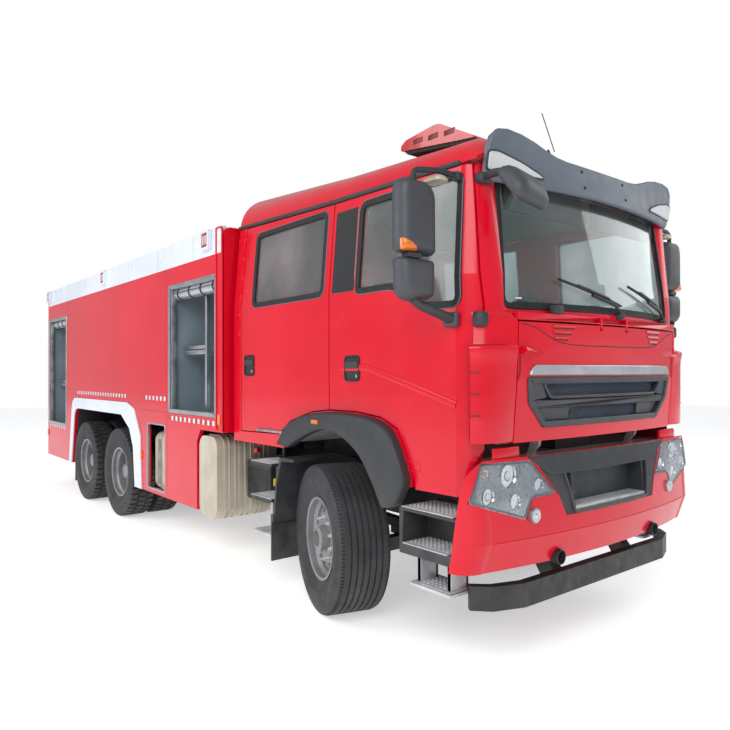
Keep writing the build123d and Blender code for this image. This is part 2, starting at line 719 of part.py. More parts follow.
def seat(x, y, width, floor):
    """One seat: base, cushion, backrest and headrest in one plain form."""
    low, high = y - width / 2, y + width / 2
    base = block((x - 180, x + 200), (low + 40, high - 40), (floor + SEAT_GAP, 1520))
    cushion = block((x - 240, x + 260), (low, high), (1520, 1660))
    back = side_sheet(((x - 240, 1600), (x - 130, 1600), (x - 200, 2250), (x - 300, 2250)),
                      low, high)
    head = block((x - 310, x - 220), (y - 130, y + 130), (2250, 2420))
    return base + cushion + back + head


def dashboard():
    """Dashboard with the steering column and wheel on the left."""
    body = side_sheet(((1090, 1560), (1080, 1900), (1180, 2000), (1350, 2010), (1320, 1560)),
                      -990, 990)
    body += block((1150, 1280), (-200, 200), (CAB_FLOOR_Z + 30 + SEAT_GAP, 1600))
    column = rod((1180, 560, 1820), (960, 560, 1960), 28)
    wheel = Plane(origin=(950, 560, 1966), z_dir=(-0.84, 0, 0.54)) * Torus(215, 16)
    spoke = Plane(origin=(950, 560, 1966), z_dir=(-0.84, 0, 0.54)) * Box(60, 420, 22)
    return body + column + wheel + spoke


def door_mirror():
    """Main and wide-angle mirror housings on the left door, with their two arms."""
    inner, out = 1350, MIRROR_OUT
    main = front_sheet(((inner, 2390), (out, 2390), (out, 2810), (inner, 2810)), 1195, 1300, 40)
    wide = front_sheet(((inner + 5, 2130), (out - 5, 2130), (out - 5, 2375), (inner + 5, 2375)),
                       1195, 1295, 40)
    link = block((1230, 1270), (1420, 1490), (2370, 2395))
    base = block((1290, 1395), (CAB_SIDE + SEAT_GAP, 1212), (2000, 2082))
    low_arm = rod((1350, 1195, 2050), (1255, 1440, 2100), 15)
    low_arm += rod((1255, 1440, 2098), (1250, 1440, 2150), 15)
    high_arm = rod((1245, 1440, 2780), (1245, 1440, 2870), 14)
    high_arm += rod((1245, 1440, 2862), (1300, 1150, 2862), 14)
    kerb = block((1190, 1330), (1230, 1335), (2812, 2850))
    return main + wide + link + base + low_arm + high_arm + kerb - cab_form(-SEAT_GAP)


# Bumper and what it carries
# columns: height, centre front, corner front, side rear edge
BUMPER_LEVELS = (
    (620, 1550, 1440, 860), (790, 1600, 1500, 1345), (1020, 1580, 1490, 1388),
    (1251, 1525, 1476, 1420),
)


def bumper_form(inset, levels):
    """Closed form of the wrap-round bumper, inset by its wall."""
    faces = []
    for z, front, corner, rear in levels:
        half = BODY_HALF - inset
        front, corner = front - inset, corner - inset
        back = 850
        faces.append(make_face([
            Line((back, -half, z), (back, half, z)),
            Line((back, half, z), (corner - 130, half, z)),
            ThreePointArc((corner - 130, half, z), (corner - 34, half - 45, z),
                          (corner, half - 150, z)),
            ThreePointArc((corner, half - 150, z), (front, 0, z), (corner, -half + 150, z)),
            ThreePointArc((corner, -half + 150, z), (corner - 34, -half + 45, z),
                          (corner - 130, -half, z)),
            Line((corner - 130, -half, z), (back, -half, z)),
        ]))
    return loft(faces, ruled=True)


BUMPER_WALL = 30
BUMPER_SHELL = bumper_form(0, BUMPER_LEVELS) - bumper_form(BUMPER_WALL, BUMPER_LEVELS)
HEADLAMP = (
    (1161, 1238), (760, 1230), (575, 1023), (782, 1012), (841, 896), (1225, 1020),
)
INSERT = ((-740, 1240), (740, 1240), (560, 1010), (505, 885), (-505, 885), (-560, 1010))
BUMPER_SIDE = (
    (1310, 615), (1330, 700), (1400, 1100), (1425, 1170), (1480, 1260), (1700, 1260), (1700, 600),
    (1310, 600),
)


def bumper():
    """Red wrap-round bumper with openings for the lamps and the dark centre."""
    shell = BUMPER_SHELL & side_sheet(BUMPER_SIDE, -1300, 1300)
    shell -= front_sheet(INSERT, 1250, 1700)
    for side in (1, -1):
        lamp = front_sheet([(side * y, z) for y, z in HEADLAMP], 1250, 1700)
        fog = rod((1250, side * 780, 916), (1700, side * 780, 916), 44)
        tube = rod((1250, side * 551, 640), (1700, side * 551, 640), 48)
        shell = shell - lamp - fog - tube
    bracket = block((RAIL_FRONT + SEAT_GAP, 1345), (RAIL_INNER, RAIL_OUTER), (700, 880))
    ledge = block((1330, 1560), (-1180, 1180), (690, 720)) & bumper_form(4, BUMPER_LEVELS)
    return shell + ledge + bracket + other_side(bracket)


def bumper_insert():
    """Dark centre of the bumper with its recessed step."""
    front = bumper_form(3, BUMPER_LEVELS) - bumper_form(34, BUMPER_LEVELS)
    face = front & front_room(INSERT, -SEAT_GAP, 1436, 1700)
    recess = ((-480, 1140), (480, 1140), (420, 900), (-420, 900))
    face -= front_sheet(recess, 1250, 1700, 20)
    tray = front_sheet(recess, 1440, 1452, 20)
    step = block((1440, 1566), (-418, 418), (903, 921))
    side_wall = side_sheet(((1440, 900), (1560, 900), (1545, 1130), (1440, 1130)), 405, 420)
    top = block((1440, 1540), (-470, 470), (1128, 1142))
    return face + tray + step + side_wall + other_side(side_wall) + top


# The housing's top rear corner is cut off, so an opened door clears it when the cab tilts
LAMP_CORNER = ((1400, 1170), (1440, 1185), (1484, 1245), (1484, 1300), (1400, 1300))


def front_lamps():
    """Headlamp and fog lamp housings of both sides, with their round lamp bowls."""
    shapes = []
    inner = bumper_form(BUMPER_WALL + 60, BUMPER_LEVELS)
    for side in (1, -1):
        outline = [(side * y, z) for y, z in HEADLAMP]
        unit = bumper_form(5, BUMPER_LEVELS) & front_room(outline, -SEAT_GAP, 1436, 1700)
        unit -= inner
        unit -= side_sheet(LAMP_CORNER, *sorted((side * 1060, side * 1260)))
        bowls = (
            (946, 1152, 66), (1104, 1051, 48), (912, 1007, 44), (714, 1082, 40),
            (1118, 1178, 26),
        )
        for y, z, radius in bowls:
            y_side = side * y
            unit -= rod((1440, y_side, z), (1700, y_side, z), radius)
            unit += rod((1420, y_side, z), (1452, y_side, z), radius)
        shapes.append(unit)
        fog = rod((1460, side * 780, 916), (1556, side * 780, 916), 44 - SEAT_GAP)
        fog -= rod((1520, side * 780, 916), (1600, side * 780, 916), 36)
        shapes.append(fog)
    return shapes


def underrun_bar():
    """Front underrun bar with bent ends, carried under the rails with the tow tubes."""
    plan = (
        (1325, 1090), (1420, 1000), (1494, 800), (1494, -800), (1420, -1000), (1325, -1090),
        (1285, -1060), (1370, -970), (1434, -780), (1434, 780), (1370, 970), (1285, 1060),
    )
    bar = plan_sheet(plan, 380, 520)
    for side in (1, -1):
        low, high = sorted((side * RAIL_INNER, side * RAIL_OUTER))
        bar += side_sheet(((1180, RAIL_LOW), (1270, RAIL_LOW), (1440, 520), (1440, 400),
                           (1380, 400)), low, high)
        tow = rod((1200, side * 551, 640), (1500, side * 551, 640), 42)
        tow -= rod((1190, side * 551, 640), (1510, side * 551, 640), 28)
        low, high = sorted((side * 430, side * 520))
        bar += tow + block((1200, 1290), (low, high), (600, RAIL_LOW))
    return bar


def steps_and_fenders():
    """Front step boxes, crew steps, drop steps and the fenders behind the front wheels."""
    shapes = []
    outer = 1212
    box = side_sheet(((870, 640), (1290, 640), (1325, 700), (1340, 900), (1320, 920), (880, 920)),
                     800, outer)
    box -= block((800, 1400), (1000, 1300), (705, 900))
    box += side_sheet(((862, 640), (884, 640), (900, 920), (884, 930), (862, 910)), 800, outer)
    shapes.append(box)
    drop = block((930, 1262), (960, 1180), (452, 470))
    for x in (960, 1210):
        drop += block((x, x + 24), (1000, 1150), (470, 640))
    shapes.append(drop)
    hanger = block((950, 1100), (RAIL_OUTER, 800), (760, 860))
    shapes.append(hanger)
    crew = block((-1000, -665), (950, 970), (700, 1012))
    for z in (708, 990):
        crew += block((-1000, -665), (950, outer), (z, z + 22))
    crew += block((-990, -710), (980, 1180), (420, 440))
    for x in (-980, -750):
        crew += block((x, x + 30), (1000, 1030), (440, 708))
    crew += block((-900, -700), (RAIL_OUTER, 952), (800, 880))
    shapes.append(crew)
    fender = side_sheet(((-340, 1080), (-540, 1080), (-600, 900), (-640, 557), (-626, 557),
                         (-580, 880), (-520, 1050), (-340, 1060)), 720, outer)
    flap = block((-662, -650), (760, 1220), (250, 620))
    fender += block((-655, -626), (760, 1220), (560, 620)) + flap
    fender += block((-640, -560), (RAIL_OUTER, 760), (860, 900))
    shapes.append(fender)
    return shapes


# Chassis side equipment
def fuel_tank():
    """Strapped fuel tank hung on the right rail behind the lower panel."""
    tank = side_sheet(((-3200, 480), (-2060, 480), (-2060, 1100), (-3200, 1100)), -1180, -640, 0)
    tank = fillet(tank.edges().filter_by(Axis.X), 90)
    straps = None
    for x in (-3050, -2820, -2350):
        ring = block((x - 30, x + 30), (-1190, -630), (470, 1110))
        ring = fillet(ring.edges().filter_by(Axis.X), 95)
        ring += block((x - 30, x + 30), (-640, -RAIL_OUTER), (760, 960))
        straps = ring if straps is None else straps + ring
    return tank + straps


def exhaust_canister():
    """Crosswise exhaust canister with a flat rounded end cap and clamp bands."""
    low_x, high_x, low_z, high_z = -1940, -1570, 410, 1160
    shell = side_sheet(((low_x, low_z), (high_x, low_z), (high_x, high_z), (low_x, high_z)),
                       -1240, -620, 110)
    for y in (-1160, -1010, -860, -710):
        shell += side_sheet(((low_x - 9, low_z - 9), (high_x + 9, low_z - 9),
                             (high_x + 9, high_z + 9), (low_x - 9, high_z + 9)),
                            y - 12, y + 12, 118)
    shell += block((low_x + 60, high_x - 60), (-640, -RAIL_OUTER), (780, 940))
    pipe = rod((high_x - 20, -860, 700), (high_x + 190, -860, 700), 60)
    return shell + pipe


# Rear body
# columns: front x, rear x, low z, high z of each compartment's clear opening
COMPARTMENTS = ((-1570, -2650, 1350, 2630), (-6545, -7560, 965, 2595))
TANK_WINDOW = (-2760, -3250, 500, 1195)
ARCH_TRIM_OUTER = (
    (-6362, 450), (-6215, 1255), (-6165, 1345), (-6060, 1396), (-3890, 1400), (-3650, 1335),
    (-3450, 1050), (-3410, 450),
)
ARCH_TRIM_INNER = (
    (-3620, 450), (-3680, 900), (-3800, 1100), (-4090, 1250), (-5950, 1250), (-6040, 1215),
    (-6085, 1150), (-6225, 450),
)


def body_wall_left():
    """Left side wall with its compartment openings, wheel arch and lower panel."""
    outline = (
        (BODY_REAR + BODY_WALL, BODY_LOW), *reversed(ARCH_TRIM_INNER), (-1975, BODY_LOW), (-1975, 1100),
        (-1900, BODY_FRONT_LOW), (BODY_FRONT - BODY_WALL, BODY_FRONT_LOW),
        (BODY_FRONT - BODY_WALL, DECK_TOP), (BODY_REAR + BODY_WALL, DECK_TOP),
    )
    wall = side_sheet(outline, BODY_HALF - BODY_WALL, BODY_HALF)
    for front, rear, low, high in (*COMPARTMENTS, TANK_WINDOW):
        wall -= block((rear, front), (1100, 1300), (low, high))
    return wall


def end_walls():
    """Front wall with rounded top corners, and rear wall with its shutter opening."""
    front = front_sheet(
        ((-BODY_HALF, BODY_FRONT_LOW), (BODY_HALF, BODY_FRONT_LOW), (BODY_HALF, 3045),
         (-BODY_HALF, 3045)),
        BODY_FRONT - BODY_WALL, BODY_FRONT, [0, 0, 80, 80])
    rear = front_sheet(
        ((-BODY_HALF, BODY_LOW), (BODY_HALF, BODY_LOW), (BODY_HALF, BODY_TOP),
         (-BODY_HALF, BODY_TOP)),
        BODY_REAR, BODY_REAR + BODY_WALL, [0, 0, 60, 60])
    rear -= block((BODY_REAR - 10, BODY_REAR + 50), SHUTTER_Y, SHUTTER_Z)
    return front, rear


SHUTTER_Y = (-720, 720)
SHUTTER_Z = (980, 2500)


def body_floor():
    """Subframe of the body on the chassis rails, with outriggers to the side walls."""
    front, rear = BODY_FRONT - BODY_WALL, BODY_REAR + BODY_WALL
    beam = block((rear, front), (RAIL_INNER, RAIL_OUTER), (RAIL_TOP, RAIL_TOP + 70))
    floor = beam + other_side(beam)
    floor += block((rear, front), (-550, 550), (RAIL_TOP + 70, RAIL_TOP + 90))
    for x in (-6400, -3480, -2000):
        reach = BODY_HALF - BODY_WALL
        floor += block((x - 40, x + 40), (-reach, reach), (RAIL_TOP + 20, RAIL_TOP + 90))
    return floor


def roof_deck():
    """Roof deck with the round pedestal of the monitor."""
    front, rear = BODY_FRONT - BODY_WALL, BODY_REAR + BODY_WALL
    reach = BODY_HALF - BODY_WALL
    deck = block((rear, front), (-reach, reach), (DECK_TOP - DECK_THICK, DECK_TOP))
    deck += rod((MONITOR_X, 0, DECK_TOP), (MONITOR_X, 0, MONITOR_BASE_TOP), 150)
    deck += rod((MONITOR_X, 0, DECK_TOP), (MONITOR_X, 0, DECK_TOP + 24), 230)
    return deck


def compartment_tub(front, rear, low, high):
    """Sheet tub lining one compartment on the left, with posts and shelf rails."""
    y = (BODY_HALF - BODY_WALL - TUB_DEPTH, BODY_HALF - BODY_WALL - SEAT_GAP)
    margin = 26
    outer = block((rear - margin, front + margin), y, (low - margin, high + 130))
    inner = block((rear - margin + TUB_WALL, front + margin - TUB_WALL),
                  (y[0] + TUB_WALL, y[1] + 10), (low - margin + TUB_WALL, high + 130 - TUB_WALL))
    tub = outer - inner
    post_x = rear + (front - rear) * 0.36
    tub += block((post_x - 25, post_x + 25), (y[0] + 60, y[0] + 100), (low - 10, high - 250))
    tub += block((post_x - 25, post_x + 25), (y[0], y[0] + 100), (high - 330, high - 290))
    shelf_z = low + (high - low) * 0.53
    for z in (shelf_z, shelf_z + 90):
        tub += block((post_x, front + margin - TUB_WALL / 2), (y[0] + 60, y[0] + 100), (z, z + 45))
    return tub


def rolled_shutter(front, rear, high):
    """Rolled-up shutter on its drum at the top of a compartment, with end brackets."""
    y = BODY_HALF - BODY_WALL - 110
    z = high + 5
    drum = rod((rear - 5.7, y, z), (front + 5.7, y, z), 78)
    bottom = block((rear + 10, front - 10), (y + 62, y + 82), (high - 60, z))
    return drum + bottom


def rear_shutter():
    """Closed slatted roller shutter in the rear wall."""
    y = (SHUTTER_Y[0] + SEAT_GAP, SHUTTER_Y[1] - SEAT_GAP)
    sheet = block((BODY_REAR + 12, BODY_REAR + 24), y,
                  (SHUTTER_Z[0] + SEAT_GAP, SHUTTER_Z[1] - SEAT_GAP))
    pitch = 76
    count = int((SHUTTER_Z[1] - SHUTTER_Z[0] - 10) // pitch)
    for row in range(count):
        z = SHUTTER_Z[0] + 4 + pitch * row
        sheet += block((BODY_REAR + 6, BODY_REAR + 14), y, (z, z + pitch - 10))
    return sheet


def fascia():
    """White parapet along the left roof edge, with lamp pads."""
    low = BODY_HALF - 60
    rail = side_sheet(((BODY_REAR + BODY_WALL, DECK_TOP), (BODY_FRONT - BODY_WALL, DECK_TOP),
                       (BODY_FRONT - BODY_WALL, BODY_TOP), (BODY_REAR + BODY_WALL, BODY_TOP)),
                      low, BODY_HALF)
    for x in (-1735, -4740, -7490):
        rail += side_sheet(((x - 75, 2885), (x + 75, 2885), (x + 75, 3045), (x - 75, 3045)),
                           BODY_HALF, BODY_HALF + 28, 20)
    return rail


def arch_trim():
    """White trim round the left rear wheel arch."""
    ring = side_sheet((*ARCH_TRIM_OUTER, *ARCH_TRIM_INNER), BODY_HALF, BODY_HALF + 12)
    return ring


def rear_mudguard():
    """Inner mudguard over the left rear wheels, with the mudflap behind."""
    y = (560, BODY_HALF - BODY_WALL - SEAT_GAP)
    arch = (*ARCH_TRIM_INNER[1:-1], (-6205, 560))
    guard = room_for(arch, 14, *y) - room_for(arch, 2, y[0] - 1, y[1] + 1)
    guard -= block((-6400, -3500), (y[0] - 5, y[1] + 5), (500, 920))
    flap = block((-6262, -6250), (600, 1200), (180, 940))
    flap += block((-6262, -6130), (600, 1200), (928, 940))
    return guard + flap


def rear_bumper():
    """Rear underrun beam with lamp units, bolted to the rear wall."""
    beam = block((BODY_REAR - 90, BODY_REAR), (-1180, 1180), (455, 560))
    for side in (1, -1):
        low, high = sorted((side * 900, side * 1200))
        beam += block((BODY_REAR - 45, BODY_REAR), (low, high), (600, 760))
        low, high = sorted((side * RAIL_INNER, side * RAIL_OUTER))
        beam += block((BODY_REAR - 60, BODY_REAR), (low, high), (555, 700))
    return beam


def rear_ladder():
    """Ladder to the roof on the rear wall's left side."""
    x = (BODY_REAR - REAR_REACH, BODY_REAR - REAR_REACH + 32)
    ladder = None
    for y in (860, 1180):
        side = block(x, (y - 16, y + 16), (800, 3120))
        ladder = side if ladder is None else ladder + side
        for z in (860, 1900, 2950):
            ladder += block((x[0] + 10, BODY_REAR), (y - 12, y + 12), (z, z + 24))
    for row in range(8):
        z = 880 + 290 * row
        ladder += rod((x[0] + 16, 860, z), (x[0] + 16, 1180, z), 12)
    return ladder


MONITOR_X = -3300
MONITOR_BASE_TOP = 2960
MONITOR_PIVOT_Z = 3190


def monitor_swivel():
    """Turning foot of the monitor, with the fork that holds the barrel."""
    foot = rod((MONITOR_X, 0, MONITOR_BASE_TOP + SEAT_GAP), (MONITOR_X, 0, 3060), 125)
    for side in (1, -1):
        low, high = sorted((side * 92, side * 118))
        foot += block((MONITOR_X - 60, MONITOR_X + 60), (low, high), (3040, MONITOR_PIVOT_Z))
        foot += rod((MONITOR_X, low, MONITOR_PIVOT_Z), (MONITOR_X, high, MONITOR_PIVOT_Z), 60)
    bore = rod((MONITOR_X, -200, MONITOR_PIVOT_Z), (MONITOR_X, 200, MONITOR_PIVOT_Z),
               30 + RUNNING_FIT)
    return foot - bore


def monitor_barrel():
    """Monitor barrel with its trunnion pin and flared foam nozzle."""
    pin = rod((MONITOR_X, -118, MONITOR_PIVOT_Z), (MONITOR_X, 118, MONITOR_PIVOT_Z), 30)
    hub = Pos(MONITOR_X, 0, MONITOR_PIVOT_Z) * Sphere(86)
    tube = rod((MONITOR_X, 0, MONITOR_PIVOT_Z), (MONITOR_X + 760, 0, MONITOR_PIVOT_Z + 60), 44)
    tip = Plane(origin=(MONITOR_X + 740, 0, MONITOR_PIVOT_Z + 58), z_dir=(0.997, 0, 0.079))
    nozzle = tip * Pos(0, 0, 150) * Cone(56, 84, 300)
    tail = rod((MONITOR_X - 100, 0, MONITOR_PIVOT_Z - 8), (MONITOR_X, 0, MONITOR_PIVOT_Z), 34)
    return pin + hub + tube + nozzle + tail


# Write every piece
write("chassis_rails", chassis_rails())
write("engine", engine())
write("front_axle", front_axle())
write("rear_axles", rear_axles())
write("bumper", bumper())
write("bumper_insert", bumper_insert())
write("front_lamps", *front_lamps())
write("underrun_bar", underrun_bar())
step_pieces = steps_and_fenders()
write("steps_and_fenders", *step_pieces, *[other_side(piece) for piece in step_pieces])
write("fuel_tank", fuel_tank())
write("exhaust_canister", exhaust_canister())

write("body_floor", body_floor())
left_wall = body_wall_left()
write("body_walls", left_wall, other_side(left_wall), *end_walls())
write("roof_deck", roof_deck())
tubs = [compartment_tub(*opening) for opening in COMPARTMENTS]
write("compartment_tubs", *tubs, *[other_side(tub) for tub in tubs])
rolls = [rolled_shutter(front, rear, high) for front, rear, low, high in COMPARTMENTS]
write("roller_shutters", *rolls, *[other_side(roll) for roll in rolls], rear_shutter())
trims = [fascia(), arch_trim()]
write("white_trims", *trims, *[other_side(trim) for trim in trims])
guard = rear_mudguard()
write("rear_mudguards", guard, other_side(guard))
write("rear_bumper", rear_bumper())
write("rear_ladder", rear_ladder())
write("monitor_swivel", monitor_swivel())
write("monitor_barrel", monitor_barrel())

write("cab_frame", cab_frame())
write("cab_rear_wall", cab_rear_wall())
write("cab_floor", cab_floor())
write("cab_roof", cab_roof())
write("windscreen", GLASS_SHELL & front_sheet(WINDSCREEN, 1200, 1700, 60))
write("visor", visor())
write("lightbar", lightbar())
write("front_flap", front_flap())
write("grille", grille())
deflector = corner_deflector()
write("corner_deflectors", deflector, other_side(deflector))
left_flare = flare()
write("cab_flares", left_flare, other_side(left_flare))
write("front_seats", *[seat(560, y, 480, WHEEL_BOX_TOP) for y in (-810, 810)])
write("crew_seats", *[seat(-940, y, 460, CAB_FLOOR_Z + 30) for y in (-750, -250, 250, 750)])
write("dashboard", dashboard())

DOORS = (("front", FRONT_DOOR, FRONT_WINDOW), ("crew", CREW_DOOR, CREW_WINDOW))
for side, name in ((1, "left"), (-1, "right")):
    for place, outline, window in DOORS:
        write(f"door_{place}_{name}", on_side(door(outline, window), side))
        write(f"door_glass_{place}_{name}", on_side(door_glass(window), side))
    write(f"mirror_{name}", on_side(door_mirror(), side))

    wheel_spot = Pos(0, FRONT_TYRE_Y, AXLE_Z)
    front_tyre = on_side(wheel_spot * tyre(FRONT_TYRE_WIDTH, FRONT_RIM_HALF), side)
    write(f"tyre_front_{name}", steered(front_tyre, side))
    write(f"rim_front_{name}", steered(on_side(wheel_spot * front_rim(), side), side))
    write(f"knuckle_{name}", steered(on_side(knuckle(), side), side))
    twin_y = REAR_OUTER_TYRE_Y - TWIN_SPACING / 2
    for axle, x in zip(("mid", "rear"), REAR_AXLES_X):
        spot = Pos(x, twin_y, AXLE_Z)
        write(f"tyres_{axle}_{name}", *[on_side(spot * shape, side) for shape in twin_tyres()])
        write(f"rims_{axle}_{name}", on_side(spot * twin_rims(), side))
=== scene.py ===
# %% [markdown]
# # A foam fire truck, dressed over its CAD frame
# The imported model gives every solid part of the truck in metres, with X forwards, Y to the truck's
# left and Z up. This lesson adds finishes and the small shapes that CAD leaves out.

# %% Load the frame
import bpy, bmesh, json, math
from mathutils import Matrix, Vector

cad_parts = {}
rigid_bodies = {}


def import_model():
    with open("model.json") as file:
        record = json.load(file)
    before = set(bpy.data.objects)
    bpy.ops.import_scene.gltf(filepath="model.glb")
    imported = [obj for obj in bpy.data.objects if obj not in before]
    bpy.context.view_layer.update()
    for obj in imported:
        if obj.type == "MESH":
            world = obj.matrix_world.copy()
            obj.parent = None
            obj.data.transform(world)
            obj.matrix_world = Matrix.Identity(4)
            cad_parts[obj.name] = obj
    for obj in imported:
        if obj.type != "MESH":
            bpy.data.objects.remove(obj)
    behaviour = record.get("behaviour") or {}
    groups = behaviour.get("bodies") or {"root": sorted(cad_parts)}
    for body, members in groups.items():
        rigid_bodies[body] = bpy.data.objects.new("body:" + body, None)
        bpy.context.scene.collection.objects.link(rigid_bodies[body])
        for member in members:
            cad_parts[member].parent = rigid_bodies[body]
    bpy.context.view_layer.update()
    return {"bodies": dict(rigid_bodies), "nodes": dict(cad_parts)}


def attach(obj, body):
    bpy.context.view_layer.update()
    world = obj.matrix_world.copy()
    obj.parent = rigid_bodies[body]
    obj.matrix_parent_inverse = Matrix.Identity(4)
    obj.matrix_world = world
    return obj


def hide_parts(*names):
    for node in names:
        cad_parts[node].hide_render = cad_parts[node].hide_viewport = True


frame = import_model()

# %% [markdown]
# ## Places
# The front axle is the natural zero of a truck, and all sizes below are measured from it. It stands
# three metres ahead of the frame's middle, so one helper moves a point over.

# %% Places and small helpers
AXLE_X = 3.0

def at(x, y, z):
    """A point given from the front axle, in the frame."""
    return Vector((x + AXLE_X, y, z))

def linked(name, data):
    """A new object with this data, in the scene."""
    piece = bpy.data.objects.new(name, data)
    bpy.context.scene.collection.objects.link(piece)
    return piece

def new_object(name, verts, faces):
    """An object at the origin with its place in its mesh."""
    mesh = bpy.data.meshes.new(name)
    mesh.from_pydata([tuple(v) for v in verts], [], faces)
    mesh.update()
    return linked(name, mesh)

def from_bmesh(name, bm):
    """Turn a bmesh into an object and free it."""
    mesh = bpy.data.meshes.new(name)
    bm.to_mesh(mesh)
    bm.free()
    return linked(name, mesh)

def join(name, pieces):
    """Join pieces into one mesh, keeping each one's material."""
    bm = bmesh.new()
    slots = []
    for piece in pieces:
        start = len(bm.faces)
        bm.from_mesh(piece.data)
        bm.faces.ensure_lookup_table()
        own = list(piece.data.materials) or [None]
        for face in bm.faces[start:]:
            look = own[min(face.material_index, len(own) - 1)]
            if look not in slots:
                slots.append(look)
            face.material_index = slots.index(look)
        bpy.data.objects.remove(piece)
    whole = from_bmesh(name, bm)
    for look in slots:
        whole.data.materials.append(look)
    return whole

# %% [markdown]
# ## The camera
# The photograph's camera was solved from the wheel rims and the body's width. It stands ahead of
# the cab on the truck's right, at a person's height, and looks back along the side. Two unit
# vectors give its turn exactly, to the right and up, and the third follows from them.

# %% Camera
CAMERA_PLACE = at(3.8845, -3.9046, 1.7427)
LENS_MM, SENSOR_MM = 32.34, 36

lens = bpy.data.cameras.new("photo_view")
camera = linked("photo_view", lens)
right = Vector((0.62597, 0.77984, -0.00358))
up = Vector((0.01108, -0.00430, 0.99993))
turn = Matrix((right, up, right.cross(up))).transposed().to_4x4()
camera.matrix_world = Matrix.Translation(CAMERA_PLACE) @ turn
lens.sensor_width = SENSOR_MM
lens.lens = LENS_MM
bpy.context.scene.camera = camera
print("camera at", tuple(round(v, 3) for v in camera.location), "lens", lens.lens, "mm")

# %% [markdown]
# ## Light and floor
# Plain studio light shows a finish as it is: a broad soft lamp ahead on the camera's side, a weaker
# one behind, and a pale world. The world looks plain white to the camera, and in gloss and glass.

# %% World
SKY_LEVEL = 0.52

scene = bpy.context.scene
scene.view_settings.view_transform = "Standard"
scene.world = bpy.data.worlds.new("studio")
scene.world.use_nodes = True
sky = scene.world.node_tree
sky.nodes.clear()
sky_out, sky_mix, sky_light, sky_white, sky_rays = (sky.nodes.new("ShaderNode" + kind) for kind in (
    "OutputWorld", "MixShader", "Background", "Background", "LightPath"))
for part, colour, strength in ((sky_light, (0.93, 0.96, 1.0, 1), SKY_LEVEL),
                               (sky_white, (1, 1, 1, 1), 1.0)):
    part.inputs["Color"].default_value = colour
    part.inputs["Strength"].default_value = strength
sky.links.new(sky_rays.outputs["Is Camera Ray"], sky_mix.inputs["Fac"])
sky.links.new(sky_light.outputs[0], sky_mix.inputs[1])
sky.links.new(sky_white.outputs[0], sky_mix.inputs[2])
sky.links.new(sky_mix.outputs[0], sky_out.inputs[0])

# %% Lamps
def soft_lamp(name, place, target, size, power):
    """A square soft lamp that faces a point."""
    light = bpy.data.lights.new(name, "AREA")
    light.size = size
    light.energy = power
    lamp = linked(name, light)
    lamp.location = place
    lamp.rotation_euler = (target - place).to_track_quat("-Z", "Y").to_euler()

soft_lamp("key_lamp", at(7, -9, 8), at(-1, -1, 1.2), 7, 740)
soft_lamp("side_lamp", at(-6, -12, 7), at(-4, -1, 1.5), 8, 580)
soft_lamp("far_lamp", at(4, 10, 7), at(-1, 1, 1.5), 7, 260)

# %% Floor
FLOOR_HALF = 30
floor = new_object("floor", [(x * FLOOR_HALF, y * FLOOR_HALF, 0) for x, y in (
    (-1, -1), (1, -1), (1, 1), (-1, 1))], [(0, 1, 2, 3)])
floor_look = bpy.data.materials.new("pale_floor")
floor_look.use_nodes = True
for socket, value in (("Base Color", (0.93, 0.93, 0.93, 1)), ("Emission Color", (1, 1, 1, 1)),
                      ("Emission Strength", 0.46), ("Roughness", 0.9),
                      ("Specular IOR Level", 0.1)):
    floor_look.node_tree.nodes["Principled BSDF"].inputs[socket].default_value = value
floor.data.materials.append(floor_look)

# %% [markdown]
# ## Finishes
# Every finish starts from the same bench: object coordinates, a few clouds of noise, and a shader.
# Clouds at two scales shift the colour and the gloss, and a fine one gives the surface its grain.
# Road dust is a third colour that comes up from the ground and fades with height.

# %% The finish bench
def srgb(red, green, blue):
    """A colour as a picture editor shows it, as the linear colour that a shader takes."""
    shown = [v / 255 for v in (red, green, blue)]
    return (*(v / 12.92 if v <= 0.04045 else ((v + 0.055) / 1.055) ** 2.4 for v in shown), 1.0)

